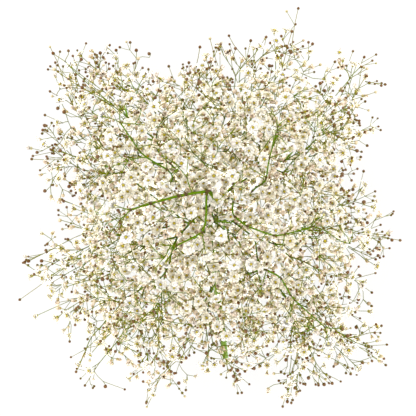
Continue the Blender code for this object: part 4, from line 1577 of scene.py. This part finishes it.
def main_stem_material(tints):
    """The thick stem: fresh green with fine streaks, and a pale pith where it is cut."""
    shader = Shader("main_stem_green", 0.45, Specular_IOR_Level=0.4)
    green = scaled(tints.stem_colour, 1.2)
    streaks = shader.streaks(600.0, (1.0, 0.15, 1.0))
    colour = shader.ramp(streaks, (0.3, green), (0.75, scaled(green, 1.5, 0.02)))
    cut = shader.mix(shader.attribute("zone"), colour, (0.62, 0.66, 0.42))
    return shader.finish(cut, 350.0, 0.3, 0.12, 0.4, 0.0004)


def zone_material(name, roughness, first, last, *mottle):
    """A plain material that runs from one colour to another with the zone."""
    shader = Shader(name, roughness, Specular_IOR_Level=0.2)
    return shader.finish(shader.ramp(shader.attribute("zone"), (0.0, first), (1.0, last)), *mottle)


def node_material(tints):
    """Dark brown swellings with papery bracts that pale towards their tips."""
    return zone_material("node_brown", 0.65, tints.node_colour, tints.twig_colour, 900.0, 0.3, 0.1, 0.3)


def leaf_material(tints):
    """Narrow green leaves, a little lighter at the tip."""
    light = scaled(tints.leaf_colour, 1.5, 0.02)
    return zone_material("leaf_green", 0.6, tints.leaf_colour, light, 500.0, 0.25, 0.1, 0.3)


# Geometry Nodes


def grow_tree(name, inputs):
    """A new tree with a geometry socket each way, the named inputs and a material."""
    inputs = (("Geometry", "Geometry", None), *inputs, ("Material", "Material", None))
    return new_tree(name, "GeometryNodeTree", inputs, (("Geometry", "Geometry"),))


def end_tree(nodes, start, end, geometry):
    """Ends a tree: real geometry in its material."""
    real = nodes.out("GeometryNodeRealizeInstances", {"Geometry": geometry})
    paint = {"Geometry": real, "Material": start["Material"]}
    nodes.fill(end, {"Geometry": nodes.out("GeometryNodeSetMaterial", paint)})
    return nodes.tree


def named(nodes, name, kind="FLOAT"):
    return nodes.out("GeometryNodeInputNamedAttribute", {"Name": name}, data_type=kind)


@functools.cache
def twig_tree():
    """Turns a net of edges into round tubes whose radius is stored at each point."""
    nodes, start, end = grow_tree("round twigs", (("Sides", "Int", 6), ("Thickness", "Float", 1.0)))
    circle = {"Resolution": start["Sides"], "Radius": 1.0}
    tube = nodes.out("GeometryNodeCurveToMesh", {
        "Curve": nodes.out("GeometryNodeMeshToCurve", {"Mesh": start["Geometry"]}),
        "Profile Curve": nodes.out("GeometryNodeCurvePrimitiveCircle", circle),
        "Scale": nodes.math("MULTIPLY", named(nodes, "radius"), start["Thickness"]),
        "Fill Caps": True,
    })
    return end_tree(nodes, start, end, nodes.out("GeometryNodeSetShadeSmooth", {"Geometry": tube}))


@functools.cache
def scatter_tree():
    """Stands small forms on points, each turned, sized and chosen as its point says."""
    nodes, start, end = grow_tree("small forms", (("Forms", "Collection", None), ("Size", "Float", 1.0)))
    forms = {"Collection": start["Forms"], "Separate Children": True, "Reset Children": True}
    spin = nodes.out("FunctionNodeAxisAngleToRotation", {"Angle": named(nodes, "roll")})
    aim = {"Rotation": spin, "Vector": named(nodes, "axis", "FLOAT_VECTOR")}
    stood = nodes.out("GeometryNodeInstanceOnPoints", {
        "Points": start["Geometry"],
        "Instance": nodes.out("GeometryNodeCollectionInfo", forms),
        "Pick Instance": True,
        "Instance Index": named(nodes, "variant", "INT"),
        "Rotation": nodes.out("FunctionNodeAlignRotationToVector", aim, axis="Z"),
        "Scale": nodes.math("MULTIPLY", named(nodes, "size"), start["Size"]),
    })
    return end_tree(nodes, start, end, stood)


# Pieces


def new_object(name, data):
    obj = bpy.data.objects.new(name, data)
    bpy.context.scene.collection.objects.link(obj)
    return obj


def grown_piece(name, mesh, tree, values):
    """Runs a tree on a mesh, keeps the result as a plain mesh, and gives its object."""
    obj = new_object(name, mesh)
    modifier = obj.modifiers.new("growth", "NODES")
    modifier.node_group = tree
    for item in tree.interface.items_tree:
        if item.in_out == "INPUT" and item.name in values:
            modifier[item.identifier] = values[item.name]
    graph = bpy.context.evaluated_depsgraph_get()
    result = bpy.data.meshes.new_from_object(obj.evaluated_get(graph), depsgraph=graph)
    obj.modifiers.clear()
    obj.data = result
    bpy.data.meshes.remove(mesh)
    result.name = name
    for attribute in ("axis", "roll", "size", "variant", "radius"):
        if attribute in result.attributes:
            result.attributes.remove(result.attributes[attribute])
    if not result.polygons:
        raise RuntimeError(f"{name} has no faces")
    return obj


def finish_piece(obj, node):
    """Says what a piece rides on, and hides the solid that it stands for."""
    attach(obj, "root")
    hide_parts(node)


def plain_piece(name, form, material):
    """Makes a piece of the main stem out of a form."""
    mesh = form.mesh(name)
    mesh.materials.append(material)
    finish_piece(new_object(name, mesh), "stem")


def twig_mesh(name, twigs):
    """A net of edges along the twigs, with their radius and tone at each point."""
    lines, radii, tones = zip(*twigs)
    edges, start = [], 0
    for line in lines:
        edges += [(start + i, start + i + 1) for i in range(len(line) - 1)]
        start += len(line)
    mesh = bpy.data.meshes.new(name)
    mesh.from_pydata([tuple(p) for p in (np.concatenate(lines) + GROWTH_SHIFT) * MM], edges, [])
    store(mesh, "radius", np.concatenate(radii) * MM)
    store(mesh, "tone", np.concatenate(tones))
    return mesh


def point_mesh(name, forms):
    """Loose points that say how the form on each one is turned, sized, tinted and chosen."""
    places, axes, form_sizes, tints, variants, rolls = zip(*forms)
    mesh = bpy.data.meshes.new(name)
    mesh.from_pydata([tuple((place + GROWTH_SHIFT) * MM) for place in places], [], [])
    store(mesh, "axis", np.array(axes, float).ravel(), "FLOAT_VECTOR")
    store(mesh, "size", [float(size) for size in form_sizes])
    store(mesh, "tint", tints)
    store(mesh, "roll", rolls)
    store(mesh, "variant", variants, "INT")
    return mesh


def form_collection(kind, maker):
    """The variants of a small form, kept aside while they are stood on their points."""
    collection = bpy.data.collections.new(f"{kind} forms")
    for number in range(FORM_COUNTS[kind]):
        name = f"{kind}_form_{number:02d}"
        collection.objects.link(bpy.data.objects.new(name, maker(number).mesh(name)))
    return collection


def clear_collection(collection):
    for obj in list(collection.objects):
        mesh = obj.data
        bpy.data.objects.remove(obj)
        bpy.data.meshes.remove(mesh)
    bpy.data.collections.remove(collection)


def scatter(kind, suffix, maker, size, material):
    """Makes one piece for each spray out of its blooms, buds, nodes or leaves."""
    collection = form_collection(kind, maker)
    values = {"Forms": collection, "Size": size, "Material": material}
    for name, dress in dresses().items():
        if dress.forms[kind]:
            label = f"{name}_{suffix}"
            piece = grown_piece(label, point_mesh(label, dress.forms[kind]), scatter_tree(), values)
            finish_piece(piece, name)
    clear_collection(collection)


# The main stem: the steps along it, how long its swellings are, how deep its ridges are and how wide
# its pith is. Its leaves: how far their tips droop, and the points round them, out and up.
STEM_STEP = 1.2
SWELLING_LENGTH = 1.5
STEM_RIDGE = 0.025
PITH_SHARE = 0.72
LEAF_DROOP = 1.6
LEAF_EDGE = (
    (-1, 0.32), (-0.5, 0.12), (0, -0.05), (0.5, 0.12), (1, 0.32), (0.5, -0.14), (0, -0.42), (-0.5, -0.14),
)


def stem_line():
    """The main stem's line in small steps, with its radius, swollen a little at each node."""
    places, _, ring_sizes, nodes = stem_rings()
    spans = [0.0]
    for a, b in zip(places, places[1:]):
        spans.append(spans[-1] + np.linalg.norm(b - a))
    swollen = {nodes[i] for i in list(nodes)[1:-1]}
    plain = [size - (NODE_SWELLING if i in swollen else 0) for i, size in enumerate(ring_sizes)]
    marks = np.arange(0, spans[-1], STEM_STEP)
    line = np.column_stack([np.interp(marks, spans, [p[axis] for p in places]) for axis in range(3)])
    radii = np.interp(marks, spans, plain)
    for i in swollen:
        radii = radii + NODE_SWELLING * np.exp(-(((marks - spans[i]) / SWELLING_LENGTH) ** 2))
    for _ in range(2):
        line[1:-1] = 0.25 * line[:-2] + 0.5 * line[1:-1] + 0.25 * line[2:]
    return line, radii


def stem_form():
    """The main stem, ridged, flat where it lies, and with a pale pith in its cut end."""
    line, radii = stem_line()
    form, rings = Form(), []
    cut_way = unit(line[1] - line[0])
    for i, (place, radius) in enumerate(zip(line, radii)):
        way = unit(line[min(i + 1, len(line) - 1)] - line[max(i - 1, 0)])
        side = unit(np.cross(way, UP)) if abs(way[2]) < 0.98 else np.array([1.0, 0, 0])
        side = unit(side - way * (side @ way))
        up = np.cross(side, way)
        rings.append([])
        for k in range(STEM_ROUND):
            angle = 2 * math.pi * (k + 0.5) / STEM_ROUND
            ridge = 1 + STEM_RIDGE * math.cos(5 * angle)
            spot = place + radius * ridge * (math.cos(angle) * side + math.sin(angle) * up)
            spot[2] = max(spot[2], 0.0)
            rings[-1].append(form.point(spot + GROWTH_SHIFT, 0.0))
    for low, high in zip(rings, rings[1:]):
        form.skin(low, high)
    pith = []
    for k in rings[0]:
        spot = np.array(form.points[k]) - GROWTH_SHIFT
        inward = line[0] + PITH_SHARE * (spot - line[0])
        pith.append(form.point(inward + 0.12 * cut_way + GROWTH_SHIFT, 1.0))
    form.skin(pith, rings[0])
    form.close(pith, line[0] + 0.2 * cut_way + GROWTH_SHIFT, 1.0, below=True)
    form.close(rings[-1], line[-1] + unit(line[-1] - line[-2]) * 0.4 + GROWTH_SHIFT, 0.0)
    return form


def stem_leaf_form():
    """The pairs of narrow leaves at the lower nodes of the stem."""
    form = Form()
    length, half_width, _ = LEAF_SIZE
    for root, way, normal in leaf_places():
        side = unit(np.cross(normal, way))
        above = np.cross(way, side)
        last = None
        for share in np.linspace(0, 0.94, 9):
            belly = 0.45 + 0.55 * math.sin(math.pi * min(share * 1.15, 1.0)) ** 0.8
            width = half_width * belly * (1 - share**5)
            middle = root + way * length * share - above * LEAF_DROOP * share**2 + GROWTH_SHIFT
            row = [form.point(middle + side * width * out + above * lift, share) for out, lift in LEAF_EDGE]
            last = form.stack(last, row)
        form.close(last, root + way * length - above * 1.75 + GROWTH_SHIFT, 1.0)
    return form


# Settings


def size_setting(name, description, most=1.5):
    return FloatProperty(name=name, description=description, default=1.0, min=0.5, max=most)


def colour_setting(name, description, *default):
    return FloatVectorProperty(name=name, description=description, subtype="COLOR", size=3, default=default)


class GypsophilaSizes(bpy.types.PropertyGroup):
    """Sizes of the dressed parts."""

    bloom_scale: size_setting("Bloom size", "Size of the open blooms")
    half_scale: size_setting("Half-open size", "Size of the half-open blooms")
    bud_scale: size_setting("Bud size", "Size of the buds")
    twig_scale: size_setting("Twig thickness", "Thickness of all twigs", 2.0)
    twig_sides: IntProperty(
        name="Twig sides", description="Flat sides round each twig", default=4, min=3, max=12,
    )


class GypsophilaColours(bpy.types.PropertyGroup):
    """Colours of the finishes."""

    petal_colour: colour_setting("Petals", "Petal white", 0.85, 0.825, 0.80)
    # painted shade: the warm cream that petals deep in the head are tinted towards
    shade_cream_colour: colour_setting("Cream", "Tint of the deepest petals", 0.99, 0.93, 0.70)
    throat_colour: colour_setting("Throat", "Centre of a bloom", 0.30, 0.25, 0.012)
    calyx_colour: colour_setting("Calyx", "Cup under a bloom", 0.20, 0.20, 0.03)
    half_colour: colour_setting("Half-open petals", "Petals still closed", 0.79, 0.72, 0.665)
    # painted shade on half-open blooms deep in the head, and the buff of some at random
    buff_and_shade_colour: colour_setting("Aged petals", "Tint of older closed petals", 0.94, 0.80, 0.64)
    bud_colour: colour_setting("Buds", "Sepals of the buds", 0.095, 0.038, 0.008)
    bud_tip_colour: colour_setting("Bud tips", "Tips of the buds", 0.13, 0.062, 0.022)
    bud_pale_colour: colour_setting("Pale buds", "The palest buds", 0.60, 0.50, 0.38)
    stem_colour: colour_setting("Stem", "Thick stems", 0.065, 0.135, 0.0)
    olive_colour: colour_setting("Twigs", "Middling twigs", 0.112, 0.158, 0.0)
    twig_colour: colour_setting("Pedicels", "Finest twigs", 0.175, 0.15, 0.0)
    node_colour: colour_setting("Nodes", "Swollen nodes", 0.048, 0.028, 0.004)
    leaf_colour: colour_setting("Leaves", "Narrow leaves", 0.11, 0.21, 0.01)


# Operators


class GYPSOPHILA_OT_stem(bpy.types.Operator):
    """Make the main stem, with its swollen nodes and its cut end."""

    bl_idname = "gypsophila.stem"
    bl_label = "Main stem"

    def execute(self, context):
        plain_piece("stem_body", stem_form(), main_stem_material(context.scene.gypsophila_colours))
        return {"FINISHED"}


class GYPSOPHILA_OT_stem_leaves(bpy.types.Operator):
    """Make the pairs of narrow leaves at the lower nodes of the stem."""

    bl_idname = "gypsophila.stem_leaves"
    bl_label = "Stem leaves"

    def execute(self, context):
        plain_piece("stem_leaves", stem_leaf_form(), leaf_material(context.scene.gypsophila_colours))
        return {"FINISHED"}


class GYPSOPHILA_OT_twigs(bpy.types.Operator):
    """Make the forking twigs of every spray."""

    bl_idname = "gypsophila.twigs"
    bl_label = "Twigs"

    def execute(self, context):
        scale, material = context.scene.gypsophila_sizes, stem_material(context.scene.gypsophila_colours)
        values = {"Sides": scale.twig_sides, "Thickness": scale.twig_scale, "Material": material}
        for name, dress in dresses().items():
            label = f"{name}_twigs"
            finish_piece(grown_piece(label, twig_mesh(label, dress.twigs), twig_tree(), values), name)
        return {"FINISHED"}


class GYPSOPHILA_OT_nodes(bpy.types.Operator):
    """Make the swollen nodes with their bracts."""

    bl_idname = "gypsophila.nodes"
    bl_label = "Nodes and bracts"

    def execute(self, context):
        material = node_material(context.scene.gypsophila_colours)
        scatter("node", "nodes", node_form, context.scene.gypsophila_sizes.twig_scale, material)
        return {"FINISHED"}


class GYPSOPHILA_OT_leaves(bpy.types.Operator):
    """Make the narrow leaves at the lower forks of the sprays."""

    bl_idname = "gypsophila.leaves"
    bl_label = "Leaves"

    def execute(self, context):
        scatter("leaf", "leaves", leaf_form, 1.0, leaf_material(context.scene.gypsophila_colours))
        return {"FINISHED"}


class GYPSOPHILA_OT_blooms(bpy.types.Operator):
    """Make the open double blooms, and the smaller ones inside the head."""

    bl_idname = "gypsophila.blooms"
    bl_label = "Open blooms"

    def execute(self, context):
        scale = context.scene.gypsophila_sizes.bloom_scale
        material = petal_material(context.scene.gypsophila_colours)
        scatter("bloom", "blooms", bloom_form, scale, material)
        scatter("small", "inner_blooms", small_form, scale, material)
        return {"FINISHED"}


class GYPSOPHILA_OT_half_open(bpy.types.Operator):
    """Make the half-open blooms."""

    bl_idname = "gypsophila.half_open"
    bl_label = "Half-open blooms"

    def execute(self, context):
        material = half_material(context.scene.gypsophila_colours)
        scatter("half", "half_open", half_form, context.scene.gypsophila_sizes.half_scale, material)
        return {"FINISHED"}


class GYPSOPHILA_OT_buds(bpy.types.Operator):
    """Make the round buds."""

    bl_idname = "gypsophila.buds"
    bl_label = "Buds"

    def execute(self, context):
        material = bud_material(context.scene.gypsophila_colours)
        scatter("bud", "buds", bud_form, context.scene.gypsophila_sizes.bud_scale, material)
        return {"FINISHED"}


class GYPSOPHILA_OT_stage(bpy.types.Operator):
    """Make the floor, the lights and the camera."""

    bl_idname = "gypsophila.stage"
    bl_label = "Floor, lights and camera"

    def execute(self, context):
        context.scene.view_settings.view_transform = "Standard"
        self.add_floor()
        self.add_lights(context.scene)
        self.add_camera(context.scene)
        return {"FINISHED"}

    def add_floor(self):
        half = FLOOR_SIZE / 2
        mesh = bpy.data.meshes.new("floor")
        corners = [(-half, -half, 0), (half, -half, 0), (half, half, 0), (-half, half, 0)]
        mesh.from_pydata(corners, [], [(0, 1, 2, 3)])
        shader = Shader("floor_white", 0.9, Specular_IOR_Level=0.1, Base_Color=FLOOR_COLOUR,
                        Emission_Color=(1, 1, 1), Emission_Strength=FLOOR_GLOW)
        mesh.materials.append(shader.material)
        floor = new_object("floor", mesh)
        floor.location.z = -FLOOR_DROP

    def add_lights(self, scene):
        world = bpy.data.worlds.new("studio")
        world.use_nodes = True
        backdrop = world.node_tree.nodes["Background"]
        backdrop.inputs["Color"].default_value = (*LIGHT_COLOUR, 1)
        backdrop.inputs["Strength"].default_value = SKY_STRENGTH
        scene.world = world
        for name, place, size, power in SOFT_LIGHTS:
            light = bpy.data.lights.new(name, "AREA")
            light.shape, light.size, light.energy, light.color = "DISK", size, power, LIGHT_COLOUR
            lamp = new_object(name, light)
            lamp.location = place
            lamp.rotation_euler = (-Vector(place)).to_track_quat("-Z", "Y").to_euler()
            lamp.visible_camera = False

    def add_camera(self, scene):
        camera = bpy.data.cameras.new("camera")
        camera.sensor_width = SENSOR
        camera.lens = SENSOR * CAMERA_DISTANCE / VIEW_WIDTH
        camera.clip_start = 0.01
        scene.camera = new_object("camera", camera)
        scene.camera.location = (0, 0, VIEW_PLANE + CAMERA_DISTANCE)


class GYPSOPHILA_PT_panel(bpy.types.Panel):
    """Lists the steps and settings in the sidebar."""

    bl_idname = "GYPSOPHILA_PT_panel"
    bl_label = "Gypsophila stem"
    bl_space_type = "VIEW_3D"
    bl_region_type = "UI"
    bl_category = "Gypsophila"

    def draw(self, context):
        for operator in OPERATORS:
            self.layout.operator(operator.bl_idname)
        for group in (context.scene.gypsophila_sizes, context.scene.gypsophila_colours):
            column = self.layout.column()
            for key in type(group).__annotations__:
                column.prop(group, key)


OPERATORS = (
    GYPSOPHILA_OT_stem,
    GYPSOPHILA_OT_stem_leaves,
    GYPSOPHILA_OT_twigs,
    GYPSOPHILA_OT_nodes,
    GYPSOPHILA_OT_leaves,
    GYPSOPHILA_OT_blooms,
    GYPSOPHILA_OT_half_open,
    GYPSOPHILA_OT_buds,
    GYPSOPHILA_OT_stage,
)
CLASSES = (GypsophilaSizes, GypsophilaColours, *OPERATORS, GYPSOPHILA_PT_panel)


def register():
    for cls in CLASSES:
        bpy.utils.register_class(cls)
    bpy.types.Scene.gypsophila_sizes = PointerProperty(type=GypsophilaSizes)
    bpy.types.Scene.gypsophila_colours = PointerProperty(type=GypsophilaColours)


def unregister():
    del bpy.types.Scene.gypsophila_sizes
    del bpy.types.Scene.gypsophila_colours
    for cls in reversed(CLASSES):
        bpy.utils.unregister_class(cls)


def main():
    register()
    bpy.ops.gypsophila.stem()
    bpy.ops.gypsophila.stem_leaves()
    bpy.ops.gypsophila.twigs()
    bpy.ops.gypsophila.nodes()
    bpy.ops.gypsophila.leaves()
    bpy.ops.gypsophila.blooms()
    bpy.ops.gypsophila.half_open()
    bpy.ops.gypsophila.buds()
    bpy.ops.gypsophila.stage()


if __name__ == "__main__":
    main()
